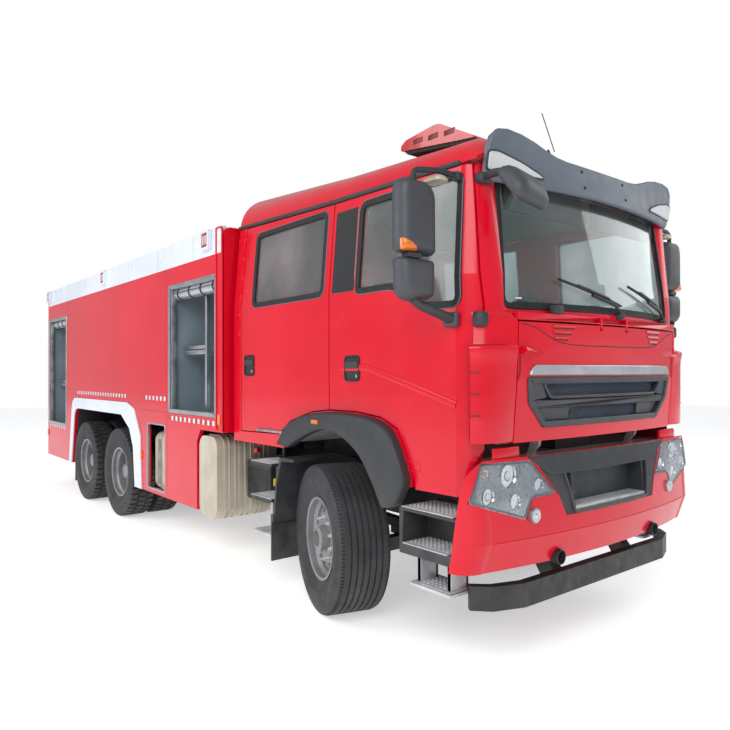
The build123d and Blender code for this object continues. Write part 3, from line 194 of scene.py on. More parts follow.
class Bench:
    """A material with its node tree, and short ways to add what finishes need."""

    def __init__(self, name):
        self.look = bpy.data.materials.new(name)
        self.look.use_nodes = True
        self.tree = self.look.node_tree
        self.shader = self.tree.nodes["Principled BSDF"]
        self.place = self.tree.nodes.new("ShaderNodeTexCoord").outputs["Object"]

    def node(self, kind, **inputs):
        made = self.tree.nodes.new("ShaderNode" + kind)
        for name, value in inputs.items():
            self.set(made, name.replace("_", " "), value)
        return made

    def set(self, node, name, value):
        socket = node.inputs[name]
        if isinstance(value, bpy.types.NodeSocket):
            self.tree.links.new(value, socket)
        else:
            socket.default_value = value

    def wear(self, **values):
        """Set the shader's own sockets."""
        for name, value in values.items():
            self.set(self.shader, name.replace("_", " "), value)

    def stretched(self, x, y, z):
        """Object coordinates, scaled along each axis."""
        return self.node("Mapping", Vector=self.place, Scale=(x, y, z)).outputs["Vector"]

    def cloud(self, scale, detail=3.0, place=None):
        noise = self.node("TexNoise", Vector=place or self.place, Scale=scale, Detail=detail)
        return noise.outputs["Fac"]

    def between(self, factor, low, high, out_low=0.0, out_high=1.0):
        return self.node("MapRange", Value=factor, From_Min=low, From_Max=high, To_Min=out_low,
                         To_Max=out_high).outputs["Result"]

    def blend(self, factor, first, second):
        """A mix of two colours."""
        made = self.tree.nodes.new("ShaderNodeMix")
        made.data_type = "RGBA"
        for index, value in ((0, factor), (6, first), (7, second)):
            self.set(made, index, value)
        return made.outputs[2]

    def sums(self, kind, first, second):
        made = self.tree.nodes.new("ShaderNodeMath")
        made.operation = kind
        self.set(made, 0, first)
        self.set(made, 1, second)
        return made.outputs[0]

    def height(self):
        """How high a point is above the ground."""
        return self.node("SeparateXYZ", Vector=self.place).outputs["Z"]

    def bumps(self, height, strength, distance):
        made = self.node("Bump", Height=height, Strength=strength, Distance=distance)
        self.wear(Normal=made.outputs["Normal"])

# %% One helper for plain finishes
DUST = srgb(150, 140, 126)

def finish(name, light, dark, rough, grain, metal=0.0, coat=0.0, shine=0.5, dust=0.0,
           dust_top=1.2, patch=1.5):
    """A finish in two close colours, with clouded gloss, fine grain and dust from the ground."""
    bench = Bench(name)
    colour = bench.blend(bench.between(bench.cloud(patch), 0.35, 0.65), dark, light)
    if dust:
        low = bench.between(bench.height(), 0.1, dust_top, 1.0, 0.0)
        specks = bench.between(bench.cloud(7.0, 6.0), 0.35, 0.75)
        amount = bench.sums("MULTIPLY", bench.sums("MULTIPLY", low, specks), dust)
        colour = bench.blend(amount, colour, DUST)
    gloss = bench.between(bench.cloud(patch * 6, 5.0), 0.3, 0.7, rough[0], rough[1])
    bench.wear(Base_Color=colour, Roughness=gloss, Metallic=metal, Coat_Weight=coat,
               Specular_IOR_Level=shine, Coat_Roughness=0.04)
    bench.bumps(bench.cloud(grain[0], 2.0), grain[1], grain[2])
    return bench.look

# %% [markdown]
# ### Plain finishes
# Most of the truck wears one of a few plain finishes: gloss paint, moulded plastic, rubber, bright
# or dull metal. A table keeps their colours, gloss and grain next to each other, where they are
# easy to compare with the photograph.

# %% Plain finishes
finishes = {}
# columns: name, light colour, dark colour, roughness range, grain (scale, strength, depth), extras
for name, light, dark, rough, grain, extras in (
    ("red_paint", (214, 3, 37), (203, 2, 31), (0.18, 0.28), (380, 0.04, 0.0004),
     dict(coat=0.22, shine=0.32, dust=0.10, dust_top=1.0, patch=0.8)),
    ("white_paint", (226, 232, 240), (212, 220, 232), (0.25, 0.38), (300, 0.05, 0.0004),
     dict(coat=0.3, dust=0.15, patch=0.9)),
    ("visor_plastic", (92, 101, 112), (84, 92, 104), (0.42, 0.55), (700, 0.25, 0.0006),
     dict(patch=2)),
    ("dark_plastic", (48, 52, 56), (40, 43, 47), (0.45, 0.62), (650, 0.35, 0.0006),
     dict(dust=0.3, patch=2)),
    ("charcoal_plastic", (62, 64, 68), (53, 55, 59), (0.4, 0.55), (600, 0.3, 0.0006),
     dict(dust=0.2, patch=2)),
    ("black_paint", (30, 32, 35), (22, 24, 26), (0.38, 0.6), (260, 0.2, 0.0006),
     dict(dust=0.16, patch=3)),
    ("tyre_rubber", (54, 56, 59), (42, 43, 46), (0.66, 0.85), (240, 0.5, 0.0008),
     dict(dust=0.12, dust_top=1.1, patch=4)),
    ("rim_paint", (150, 152, 155), (126, 128, 131), (0.38, 0.6), (180, 0.2, 0.0005),
     dict(metal=0.35, dust=0.4, patch=5)),
    ("locker_paint", (136, 149, 158), (118, 132, 141), (0.35, 0.5), (300, 0.15, 0.0004),
     dict(patch=2)),
    ("galvanised", (168, 172, 175), (128, 132, 136), (0.35, 0.55), (60, 0.2, 0.0006),
     dict(metal=0.8, dust=0.25, patch=9)),
    ("bare_aluminium", (186, 188, 192), (166, 168, 173), (0.28, 0.42), (120, 0.15, 0.0004),
     dict(metal=0.9, patch=6)),
    ("cream_alloy", (203, 196, 178), (186, 178, 160), (0.42, 0.6), (150, 0.3, 0.0006),
     dict(metal=0.25, dust=0.4, patch=4)),
    ("chrome", (208, 212, 216), (190, 194, 200), (0.08, 0.2), (30, 0.05, 0.0004),
     dict(metal=1.0, patch=5)),
    ("seal_rubber", (22, 22, 24), (14, 14, 16), (0.55, 0.75), (400, 0.3, 0.0005), dict(patch=6)),
    ("cabin_plastic", (88, 88, 90), (74, 74, 76), (0.55, 0.7), (500, 0.4, 0.0006), dict(patch=3)),
    ("cabin_liner", (176, 174, 168), (160, 158, 152), (0.7, 0.85), (350, 0.4, 0.0008),
     dict(patch=3)),
    ("engine_grey", (74, 78, 80), (46, 49, 51), (0.5, 0.75), (90, 0.5, 0.001),
     dict(dust=0.5, patch=8)),
    ("pale_plastic", (202, 204, 206), (188, 190, 192), (0.35, 0.5), (420, 0.2, 0.0004),
     dict(patch=2)),
    ("amber_lens", (226, 120, 18), (206, 98, 10), (0.1, 0.2), (150, 0.3, 0.0005),
     dict(coat=0.7, patch=12)),
    ("red_lens", (196, 12, 20), (168, 6, 14), (0.1, 0.2), (150, 0.3, 0.0005),
     dict(coat=0.7, patch=12)),
    ("tape_white", (224, 226, 226), (206, 210, 212), (0.3, 0.45), (500, 0.3, 0.0003),
     dict(patch=20)),
    ("tape_red", (196, 22, 30), (172, 14, 22), (0.3, 0.45), (500, 0.3, 0.0003), dict(patch=20)),
    ("yellow_lens", (238, 206, 40), (222, 186, 24), (0.15, 0.3), (300, 0.3, 0.0004),
     dict(coat=0.4, patch=12)),
    ("gloss_black", (14, 15, 17), (8, 9, 10), (0.06, 0.12), (300, 0.05, 0.0003),
     dict(coat=0.8, patch=3)),
    ("sun_blind", (34, 36, 40), (24, 26, 29), (0.5, 0.7), (300, 0.2, 0.0004), dict(patch=4)),
    ("deep_red", (120, 10, 18), (96, 8, 14), (0.3, 0.45), (300, 0.1, 0.0004), dict(patch=3)),
    ("mirror_shell", (66, 69, 74), (58, 61, 66), (0.42, 0.55), (700, 0.25, 0.0006), dict(patch=2)),
    ("mirror_face", (200, 206, 212), (190, 197, 204), (0.02, 0.06), (30, 0.02, 0.0003),
     dict(metal=1.0, patch=3)),
    ("lamp_grey", (170, 174, 178), (140, 144, 149), (0.22, 0.35), (300, 0.1, 0.0004),
     dict(metal=0.6, patch=6)),
    ("step_metal", (206, 208, 210), (182, 184, 187), (0.35, 0.5), (120, 0.2, 0.0005),
     dict(metal=0.3, patch=8)),
):
    finishes[name] = finish(name, srgb(*light), srgb(*dark), rough, grain, **extras)
print("plain finishes", len(finishes))

# %% [markdown]
# ### Glass
# Cab glass is a thin green-tinted pane. A clear shader with a little tint keeps the seats in view
# and takes the studio's reflections. Faint streaks in the gloss keep it from looking like plastic.

# %% Glass
def glass(name, tint, clear, rough, bend):
    """A see-through finish: tinted light comes through, and the face reflects."""
    bench = Bench(name)
    colour = bench.blend(bench.between(bench.cloud(1.4), 0.3, 0.7), tint, (1, 1, 1, 1))
    streaks = bench.cloud(3.0, 4.0, bench.stretched(1, 1, 0.25))
    bench.wear(Base_Color=colour, Roughness=bench.between(streaks, 0.3, 0.8, rough, rough + 0.05),
               Transmission_Weight=clear, IOR=bend)
    bench.bumps(bench.cloud(2.5), 0.02, 0.0005)
    return bench.look

for name, tint, clear, rough, bend in (
    ("windscreen_glass", (206, 232, 228), 0.95, 0.01, 1.45),
    ("door_glass", (150, 176, 174), 0.9, 0.02, 1.45),
    ("clear_cover", (236, 242, 246), 0.97, 0.01, 1.12),
):
    finishes[name] = glass(name, srgb(*tint), clear, rough, bend)

# %% [markdown]
# ### Ribbed and raised metal
# Roller shutters, steps and decks are made of pressed aluminium. Wave textures give the shutters
# their slats, and two crossed waves leave the raised lozenges of tread plate. Both follow object
# coordinates, so they keep their size in metres on any piece.

# %% Tread plate and slats
def tread_plate(name, light, dark, size):
    """Raised lozenges in two directions on bright plate."""
    bench = Bench(name)
    turned = bench.node("Mapping", Vector=bench.place, Rotation=(0, 0, math.radians(45)))
    parts = []
    for shift, stretch in ((0.0, (1, 0.28, 1)), (0.5, (0.28, 1, 1))):
        spot = bench.node("Mapping", Vector=turned.outputs["Vector"],
                          Location=(shift * size, shift * size, 0), Scale=stretch)
        dots = bench.node("TexVoronoi", Vector=spot.outputs["Vector"], Scale=1 / size,
                          Randomness=0.0)
        parts.append(bench.between(dots.outputs["Distance"], 0.12, 0.2, 1.0, 0.0))
    raised = bench.sums("MAXIMUM", *parts)
    worn = bench.between(bench.cloud(18, 4.0), 0.35, 0.7)
    tone = bench.sums("MULTIPLY", bench.sums("ADD", raised, 0.3), worn)
    bench.wear(Base_Color=bench.blend(tone, dark, light), Metallic=0.75,
               Roughness=bench.between(raised, 0, 1, 0.55, 0.3))
    bench.bumps(raised, 0.8, 0.0015)
    return bench.look

def slats(name, light, dark, pitch):
    """Interlocking slats across a shutter, with a dark line in each joint."""
    bench = Bench(name)
    wave = bench.node("TexWave", Vector=bench.place, Scale=math.pi / 10 / pitch / 2)
    wave.bands_direction = "Z"
    joint = bench.between(wave.outputs["Fac"], 0.02, 0.12)
    tone = bench.sums("MULTIPLY", joint, bench.between(bench.cloud(5), 0.2, 0.7, 0.75, 1.0))
    bench.wear(Base_Color=bench.blend(tone, dark, light), Metallic=0.7,
               Roughness=bench.between(bench.cloud(30), 0.3, 0.7, 0.28, 0.42))
    bench.bumps(wave.outputs["Fac"], 0.7, 0.004)
    return bench.look

finishes["tread_plate"] = tread_plate("tread_plate", srgb(206, 208, 212), srgb(150, 152, 156),
                                      0.045)
finishes["shutter_slats"] = slats("shutter_slats", srgb(196, 200, 204), srgb(96, 100, 104), 0.04)

# %% [markdown]
# ### Seat cloth
# Cab seats wear a dark woven cloth. Two crossed waves make the weave, fine enough that it only
# shows close up, and sheen lifts the edges as fibres do.

# %% Seat cloth
bench = Bench("seat_cloth")
threads = []
for direction in ("Y", "Z"):
    wave = bench.node("TexWave", Vector=bench.place, Scale=120.0)
    wave.bands_direction = direction
    threads.append(wave.outputs["Fac"])
weave = bench.sums("MULTIPLY", *threads)
bench.wear(Base_Color=bench.blend(weave, srgb(44, 47, 54), srgb(70, 74, 84)), Sheen_Weight=0.3,
           Roughness=bench.between(bench.cloud(20), 0.3, 0.7, 0.8, 0.95))
bench.bumps(weave, 0.4, 0.001)
finishes["seat_cloth"] = bench.look
print("finishes", len(finishes))

# %% [markdown]
# ## Finishes on the CAD nodes
# A CAD node whose shape is right stays as it is and only gets its finish. One table says which
# finish each node wears.

# %% Dress the nodes
wears = {
    "red_paint": "bumper body_walls cab_frame cab_rear_wall cab_roof front_flap corner_deflectors "
                 "door_front_left door_front_right door_crew_left door_crew_right monitor_swivel "
                 "monitor_barrel",
    "white_paint": "white_trims",
    "visor_plastic": "visor",
    "dark_plastic": "bumper_insert cab_flares mirror_left mirror_right steps_and_fenders "
                    "rear_mudguards",
    "charcoal_plastic": "grille",
    "black_paint": "underrun_bar chassis_rails front_axle rear_axles knuckle_left knuckle_right "
                   "body_floor rear_bumper",
    "engine_grey": "engine",
    "cream_alloy": "fuel_tank exhaust_canister",
    "tread_plate": "roof_deck",
    "locker_paint": "compartment_tubs",
    "shutter_slats": "roller_shutters",
    "galvanised": "rear_ladder",
    "cabin_liner": "cab_floor",
    "cabin_plastic": "dashboard",
    "seat_cloth": "front_seats crew_seats",
    "windscreen_glass": "windscreen",
    "door_glass": "door_glass_front_left door_glass_front_right door_glass_crew_left "
                  "door_glass_crew_right",
    "tyre_rubber": "tyre_front_left tyre_front_right tyres_mid_left tyres_mid_right "
                   "tyres_rear_left tyres_rear_right",
    "rim_paint": "rim_front_left rim_front_right rims_mid_left rims_mid_right rims_rear_left "
                 "rims_rear_right",
    "red_lens": "lightbar",
    "lamp_grey": "front_lamps",
}
dressed = set()
for look, names in wears.items():
    for name in names.split():
        piece = frame["nodes"][name]
        piece.data.materials.clear()
        piece.data.materials.append(finishes[look])
        dressed.add(name)
print("dressed", len(dressed), "left", sorted(set(frame["nodes"]) - dressed))

# %% [markdown]
# ## Repeats made by Geometry Nodes
# Tread blocks, nuts, rivets, slots and reflectors are one small shape many times. Two node trees
# make them: one turns copies about a wheel's axis, and one lays copies in rows and columns. Each
# tree has named inputs, so the same tree serves a tyre and a ring of nuts.

# %% Ring tree
def tree_with(name, sockets):
    """A node tree with named inputs and one geometry output."""
    tree = bpy.data.node_groups.new(name, "GeometryNodeTree")
    for label, kind in sockets:
        tree.interface.new_socket(label, in_out="INPUT", socket_type="NodeSocket" + kind)
    tree.interface.new_socket("Copies", in_out="OUTPUT", socket_type="NodeSocketGeometry")
    return tree, tree.nodes.new("NodeGroupInput"), tree.nodes.new("NodeGroupOutput")

def wire(tree, *pairs):
    """Link pairs of sockets."""
    for source, target in pairs:
        tree.links.new(source, target)

ring_tree, ring_in, ring_out = tree_with("ring_of_copies", (
    ("Piece", "Object"), ("Count", "Int"), ("Weld", "Float"), ("Finish", "Material")))
spots, source, number, step, angle, axis, turned, copies, solid, weld, coat = (
    ring_tree.nodes.new(kind) for kind in (
        "GeometryNodeMeshLine", "GeometryNodeObjectInfo", "GeometryNodeInputIndex",
        "ShaderNodeMath", "ShaderNodeMath", "ShaderNodeCombineXYZ", "FunctionNodeEulerToRotation",
        "GeometryNodeInstanceOnPoints", "GeometryNodeRealizeInstances",
        "GeometryNodeMergeByDistance", "GeometryNodeSetMaterial"))
spots.inputs["Offset"].default_value = (0, 0, 0)
step.operation = "DIVIDE"
step.inputs[0].default_value = math.tau
angle.operation = "MULTIPLY"
wire(ring_tree,
     (ring_in.outputs["Count"], spots.inputs["Count"]),
     (ring_in.outputs["Piece"], source.inputs["Object"]),
     (ring_in.outputs["Count"], step.inputs[1]),
     (number.outputs[0], angle.inputs[0]), (step.outputs[0], angle.inputs[1]),
     (angle.outputs[0], axis.inputs["Y"]), (axis.outputs[0], turned.inputs[0]),
     (turned.outputs[0], copies.inputs["Rotation"]),
     (spots.outputs["Mesh"], copies.inputs["Points"]),
     (source.outputs["Geometry"], copies.inputs["Instance"]),
     (copies.outputs["Instances"], solid.inputs[0]),
     (solid.outputs[0], weld.inputs["Geometry"]),
     (ring_in.outputs["Weld"], weld.inputs["Distance"]),
     (weld.outputs[0], coat.inputs["Geometry"]),
     (ring_in.outputs["Finish"], coat.inputs["Material"]),
     (coat.outputs[0], ring_out.inputs["Copies"]))

# %% Rows and columns tree
grid_tree, grid_in, grid_out = tree_with("rows_of_copies", (
    ("Piece", "Object"), ("Along", "Int"), ("Along Step", "Vector"),
    ("Across", "Int"), ("Across Step", "Vector"), ("Finish", "Material")))
source = grid_tree.nodes.new("GeometryNodeObjectInfo")
wire(grid_tree, (grid_in.outputs["Piece"], source.inputs["Object"]))
made = source.outputs["Geometry"]
for count, offset in (("Along", "Along Step"), ("Across", "Across Step")):
    line, copies, solid = (grid_tree.nodes.new("GeometryNode" + kind) for kind in (
        "MeshLine", "InstanceOnPoints", "RealizeInstances"))
    wire(grid_tree,
         (grid_in.outputs[count], line.inputs["Count"]),
         (grid_in.outputs[offset], line.inputs["Offset"]),
         (line.outputs["Mesh"], copies.inputs["Points"]),
         (made, copies.inputs["Instance"]),
         (copies.outputs["Instances"], solid.inputs[0]))
    made = solid.outputs[0]
coat = grid_tree.nodes.new("GeometryNodeSetMaterial")
wire(grid_tree,
     (made, coat.inputs["Geometry"]),
     (grid_in.outputs["Finish"], coat.inputs["Material"]),
     (coat.outputs[0], grid_out.inputs["Copies"]))

# %% Grow a tree's copies into a plain mesh
def grown(tree, name, look, piece, **inputs):
    """Run a tree on an empty carrier and keep its result as a plain mesh; piece is used up."""
    carrier = new_object(name + "_carrier", [(0, 0, 0)], [])
    modifier = carrier.modifiers.new("copies", "NODES")
    modifier.node_group = tree
    inputs.update(Piece=piece, Finish=finishes[look])
    for item in tree.interface.items_tree:
        key = item.name.replace(" ", "_")
        if key in inputs:
            modifier[item.identifier] = inputs[key]
    carrier.update_tag()
    view = bpy.context.evaluated_depsgraph_get()
    view.update()
    mesh = bpy.data.meshes.new_from_object(carrier.evaluated_get(view))
    mesh.name = name
    for used in (carrier, piece):
        bpy.data.objects.remove(used)
    return linked(name, mesh)

def ring(name, piece, count, look, weld=0.0):
    """Copies of a piece turned about the Y axis."""
    return grown(ring_tree, name, look, piece, Count=count, Weld=weld)

def rows(name, piece, look, along, along_step, across=1, across_step=(0, 0, 0)):
    """Copies of a piece in rows and columns."""
    return grown(grid_tree, name, look, piece, Along=along, Along_Step=along_step,
                 Across=across, Across_Step=across_step)

# %% [markdown]
# ## Tyres
# The front tyres are wide road singles: narrow zigzag ribs with thin grooves, and shoulders that
# are notched at the edge. The rear tyres are narrower, with open lugs for grip. Both treads repeat
# one pitch round the wheel, so one pitch is drawn as a strip from bead to bead, and the ring tree
# turns it about the axle and welds the joints.

# %% One pitch of a tyre
def pitch_strip(name, profile, pitches, steps, groove):
    """A strip from bead to bead; groove gives how deep the tread is at a place."""
    verts, faces = [], []
    for u in steps:
        angle = math.tau / pitches * u
        for out, radius, kind in profile:
            depth, shift = groove(u, kind) if kind else (0.0, 0.0)
            r = radius - depth
            verts.append((r * math.sin(angle), out + shift, r * math.cos(angle)))
    across = len(profile)
    for row in range(len(steps) - 1):
        for col in range(across - 1):
            a = row * across + col
            faces.append((a, a + across, a + across + 1, a + 1))
    return new_object(name, verts, faces)

def side_profile(half, bead, shoulder):
    """Sidewall points from the bead to the tread, with two fine rings, on the outer side."""
    return [
        (bead - 0.006, 0.287), (bead + 0.004, 0.296), (bead + 0.010, 0.312), (bead + 0.011, 0.318),
        (half - 0.022, 0.345), (half - 0.010, 0.372), (half - 0.006, 0.376), (half - 0.006, 0.381),
        (half - 0.003, 0.386), (half, 0.415), (half - 0.001, 0.448), (half - 0.004, 0.452),
        (half - 0.005, 0.468), (half - 0.010, 0.486), (half - 0.012, 0.5), (shoulder, 0.520),
    ]

# %% Front tyre
FRONT_HALF, TOP = 0.1925, 0.535
FRONT_PITCHES, WELD = 64, 0.0004
FRONT_STEPS = (0, 0.14, 0.17, 0.39, 0.42, 0.64, 0.67, 0.89, 0.92, 1)
GROOVES = (-0.112, -0.067, -0.0225, 0.0225, 0.067, 0.112)

def front_groove(u, kind):
    """Thin zigzag grooves, and notches in the shoulder's edge."""
    swing = 0.0036 * (1 - 4 * abs((u * 2) % 1 - 0.5))
    if kind == "notch":
        return (0.010 if 0.3 < (u * 2) % 1 < 0.8 else 0.0), 0.0
    return {"bottom": (0.012, swing), "edge": (0.0, swing), "top": (0.0, 0.0)}[kind]

tread = [(place + shift, TOP, kind) for place in GROOVES for shift, kind in (
    (-0.0065, "edge"), (-0.0048, "bottom"), (0.0048, "bottom"), (0.0065, "edge"))]
wall = [(y, r, None) for y, r in side_profile(FRONT_HALF, 0.146, 0.176)]
wall += [(0.172, 0.528, "notch"), (0.158, 0.533, "notch"), (0.152, 0.5345, "top")]
profile = [(-y, r, kind) for y, r, kind in wall] + tread + wall[::-1]
strip = pitch_strip("front_pitch", profile, FRONT_PITCHES, FRONT_STEPS, front_groove)
front_tyre = ring("front_tyre", strip, FRONT_PITCHES, "tyre_rubber", weld=WELD)
print("front tyre faces", len(front_tyre.data.polygons))

# %% Rear tyre
REAR_HALF, REAR_PITCHES = 0.15, 44
REAR_STEPS = (0, 0.04, 0.07, 0.31, 0.34, 0.5, 0.54, 0.72, 0.76, 1)

def lug_groove(u, kind):
    """Two zigzag channels, and cross grooves that part the lugs."""
    swing = 0.008 * (1 - 4 * abs(u % 1 - 0.5))
    return {"channel": (0.016, swing), "channel_edge": (0.0, swing),
            "side_lug": (0.016 if 0.05 < u < 0.33 else 0.0, 0.0),
            "middle": (0.014 if 0.52 < u < 0.74 else 0.0, 0.0)}[kind]

half = [(y, r, None) for y, r in side_profile(REAR_HALF, 0.102, 0.138)]
half += [(0.134, 0.527, "side_lug"), (0.122, 0.5335, "side_lug"), (0.066, TOP, "side_lug"),
         (0.062, TOP, "channel_edge"), (0.058, TOP, "channel"), (0.044, TOP, "channel"),
         (0.040, TOP, "channel_edge"), (0.036, TOP, "middle"), (0.012, TOP, "middle")]
profile = [(-y, r, kind) for y, r, kind in half] + half[::-1]
strip = pitch_strip("rear_pitch", profile, REAR_PITCHES, REAR_STEPS, lug_groove)
rear_tyre = ring("rear_tyre", strip, REAR_PITCHES, "tyre_rubber", weld=WELD)
print("rear tyre faces", len(rear_tyre.data.polygons))

# %% [markdown]
# ### Put the tyres on
# A wheel is drawn with its outer side towards +Y. The right-hand wheels turn half round, and the
# front ones also turn by the angle at which the truck was parked.

# %% Where each wheel stands
PARKED_TURN = math.radians(-16.2)
KINGPIN_OUT, FRONT_OUT, TWIN_OUT = 0.93, 1.0175, (1.09, 0.75)
REAR_AXLES = (("mid", -4.3), ("rear", -5.65))
SIDES = ((1, "left"), (-1, "right"))

def wheel_place(side, x, out, parked=False):
    """The matrix from a wheel drawn at the origin to its place on the truck."""
    place = Matrix.Translation(at(x, side * out, TOP))
    if side < 0:
        place = place @ Matrix.Rotation(math.pi, 4, "Z")
    if parked:
        pin = Matrix.Translation(at(x, side * KINGPIN_OUT, 0))
        place = pin @ Matrix.Rotation(PARKED_TURN, 4, "Z") @ pin.inverted() @ place
    return place

def placed_copy(name, piece, place):
    """A copy of a piece with its place put into its mesh."""
    copy = linked(name, piece.data.copy())
    copy.data.transform(place)
    return copy

for side, name in SIDES:
    place = wheel_place(side, 0, FRONT_OUT, True)
    piece = placed_copy("road_tyre_front_" + name, front_tyre, place)
    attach(piece, "front_wheel_" + name)
    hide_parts("tyre_front_" + name)
    for axle, x in REAR_AXLES:
        pair = [placed_copy("half", rear_tyre, wheel_place(side, x, out)) for out in TWIN_OUT]
        piece = join(f"road_tyres_{axle}_{name}", pair)
        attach(piece, f"{axle}_wheels_{name}")
        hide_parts(f"tyres_{axle}_{name}")
for piece in (front_tyre, rear_tyre):
    bpy.data.objects.remove(piece)

# %% [markdown]
# ## A small workshop
# Trim is made with a few tools: a block with rounded edges, a rod that bends along a line, a sheet
# cut to an outline, a band that follows an outline, a ridge along a line, and a lathe. Sheets,
# bands and ridges lie on the truck's own surfaces, which a few functions describe.

# %% Outlines
CORNER_SHARE = 0.48
LEAST_LENGTH = 1e-6
LEAST_SLANT = 0.5

def dense(points, longest, closed=True):
    """The same line with no step longer than a limit."""
    out, count = [], len(points)
    for i in range(count if closed else count - 1):
        a, b = Vector(points[i]), Vector(points[(i + 1) % count])
        parts = max(1, math.ceil((b - a).length / longest))
        out += [a.lerp(b, k / parts) for k in range(parts)]
    return out if closed else out + [Vector(points[-1])]

def rounded(points, radius, longest=None, steps=4):
    """A closed outline with rounded corners; the radius may be one for each corner."""
    out, count = [], len(points)
    for i in range(count):
        a, b, c = (Vector(points[k % count]) for k in (i - 1, i, i + 1))
        reach = radius[i] if isinstance(radius, (list, tuple)) else radius
        reach = min(reach, (a - b).length * CORNER_SHARE, (c - b).length * CORNER_SHARE)
        if reach <= 0:
            out.append(b)
            continue
        start, end = b + (a - b).normalized() * reach, b + (c - b).normalized() * reach
        for k in range(steps + 1):
            t = k / steps
            out.append(start * (1 - t) ** 2 + b * (2 * t * (1 - t)) + end * (t * t))
    return dense(out, longest) if longest else out

def box_outline(low_u, high_u, low_v, high_v, radius, longest=None):
    """A rounded rectangle."""
    return rounded([(low_u, low_v), (high_u, low_v), (high_u, high_v), (low_u, high_v)], radius,
                   longest)

def square_outline(u, v, half_u, half_v, radius, longest=None):
    """A rounded rectangle about its middle."""
    return box_outline(u - half_u, u + half_u, v - half_v, v + half_v, radius, longest)

def to_side(side, points):
    """Points of the left side, or their mirror image for side -1."""
    return [(side * u, v) for u, v in points]

def across(half, radius, longest):
    """A rounded outline across the truck from the points of its left half."""
    whole = to_side(-1, half[:1]) + list(half) + to_side(-1, reversed(half[1:]))
    return rounded(whole, radius, longest)

def spread(outline, distance):
    """A closed flat outline moved outward (or inward, if negative)."""
    area = sum(a[0] * b[1] - b[0] * a[1] for a, b in zip(outline, outline[1:] + outline[:1]))
    sign = 1 if area > 0 else -1
    out, count = [], len(outline)
    for i in range(count):
        before, here, after = (Vector(outline[k % count]).to_2d() for k in (i - 1, i, i + 1))
        one, two = (here - before).normalized(), (after - here).normalized()
        normal = Vector((one.y + two.y, -one.x - two.x))
        if normal.length < LEAST_LENGTH:
            normal = Vector((one.y, -one.x))
        normal.normalize()
        slant = max(LEAST_SLANT, normal.dot(Vector((one.y, -one.x))))
        out.append(here + normal * (sign * distance / slant))
    return out

def circle(sides):
    """The angles of a circle's points."""
    return [math.tau * k / sides for k in range(sides)]

# %% Shapes
MOST_SIDES = 8

def paint(piece, look, sharp=35):
    """Give a piece its finish, smooth but for edges sharper than an angle in degrees."""
    piece.data.materials.clear()
    piece.data.materials.append(finishes[look])
    piece.data.shade_smooth()
    piece.data.set_sharp_from_angle(angle=math.radians(sharp))
    return piece

def block(x, y, z, look, round_by=0.006, steps=2):
    """A block between pairs of x, y and z, with rounded edges."""
    bm = bmesh.new()
    bmesh.ops.create_cube(bm, size=1)
    for vert in bm.verts:
        vert.co = at(*(low + (high - low) * (c + 0.5)
                       for (low, high), c in zip((x, y, z), vert.co)))
    if round_by:
        least = min(abs(high - low) for low, high in (x, y, z))
        bmesh.ops.bevel(bm, geom=bm.edges[:], offset=min(round_by, least * 0.45), segments=steps,
                        profile=0.5, affect="EDGES")
    bmesh.ops.recalc_face_normals(bm, faces=bm.faces)
    return paint(from_bmesh("block", bm), look)

def skin(rings, look, closed=True, caps=True, sharp=35):
    """A surface over rings of points; caps close its two ends."""
    wide = len(rings[0])
    faces = []
    for row in range(len(rings) - 1):
        for col in range(wide if closed else wide - 1):
            a, b = row * wide + col, row * wide + (col + 1) % wide
            faces.append((a, b, b + wide, a + wide))
    if caps and closed:
        faces.append(tuple(reversed(range(wide))))
        faces.append(tuple(range((len(rings) - 1) * wide, len(rings) * wide)))
    piece = new_object("skin", [point for one in rings for point in one], faces)
    bm = bmesh.new()
    bm.from_mesh(piece.data)
    bmesh.ops.recalc_face_normals(bm, faces=bm.faces)
    many_sided = [face for face in bm.faces if len(face.verts) > MOST_SIDES]
    bmesh.ops.triangulate(bm, faces=many_sided, ngon_method="BEAUTY")
    bm.to_mesh(piece.data)
    bm.free()
    return paint(piece, look, sharp)

def rod(points, radius, look, sides=10, bend=0.0, closed=False):
    """A round rod along a line of points, with its bends rounded."""
    line = [at(*p) for p in points]
    if bend:
        last = len(line) - 1
        line = rounded(line, [bend if 0 < i < last else 0 for i in range(last + 1)], steps=5)
    count, rings, side = len(line), [], None
    for i, here in enumerate(line):
        before = line[i - 1] if i or closed else here
        after = line[(i + 1) % count] if i < count - 1 or closed else here
        ahead = (after - before).normalized()
        if side is None:
            side = ahead.orthogonal().normalized()
        side = (side - ahead * side.dot(ahead)).normalized()
        over = ahead.cross(side)
        rings.append([here + (side * math.cos(t) + over * math.sin(t)) * radius
                      for t in circle(sides)])
    if closed:
        rings.append(rings[0])
    return skin(rings, look, caps=not closed)

def lathe(centre, axis, profile, look, sides=28, sharp=30):
    """A turned piece; the profile gives (along, radius) pairs from its centre."""
    axis = Vector({"x": (1, 0, 0), "y": (0, 1, 0), "z": (0, 0, 1)}[axis])
    side = axis.orthogonal().normalized()
    over = axis.cross(side)
    return skin([[at(*centre) + axis * along + (side * math.cos(t) + over * math.sin(t)) * radius
                  for t in circle(sides)] for along, radius in profile], look, sharp=sharp)

def sheet(outline, surface, low, high, look, chamfer=0.0):
    """A sheet cut to an outline on a surface, from one distance above it to another."""
    rings = [[surface(u, v, up) for u, v in outline] for up in (low, high - chamfer)]
    if chamfer:
        rings.append([surface(u, v, high) for u, v in spread(outline, -chamfer)])
    return skin(rings, look)

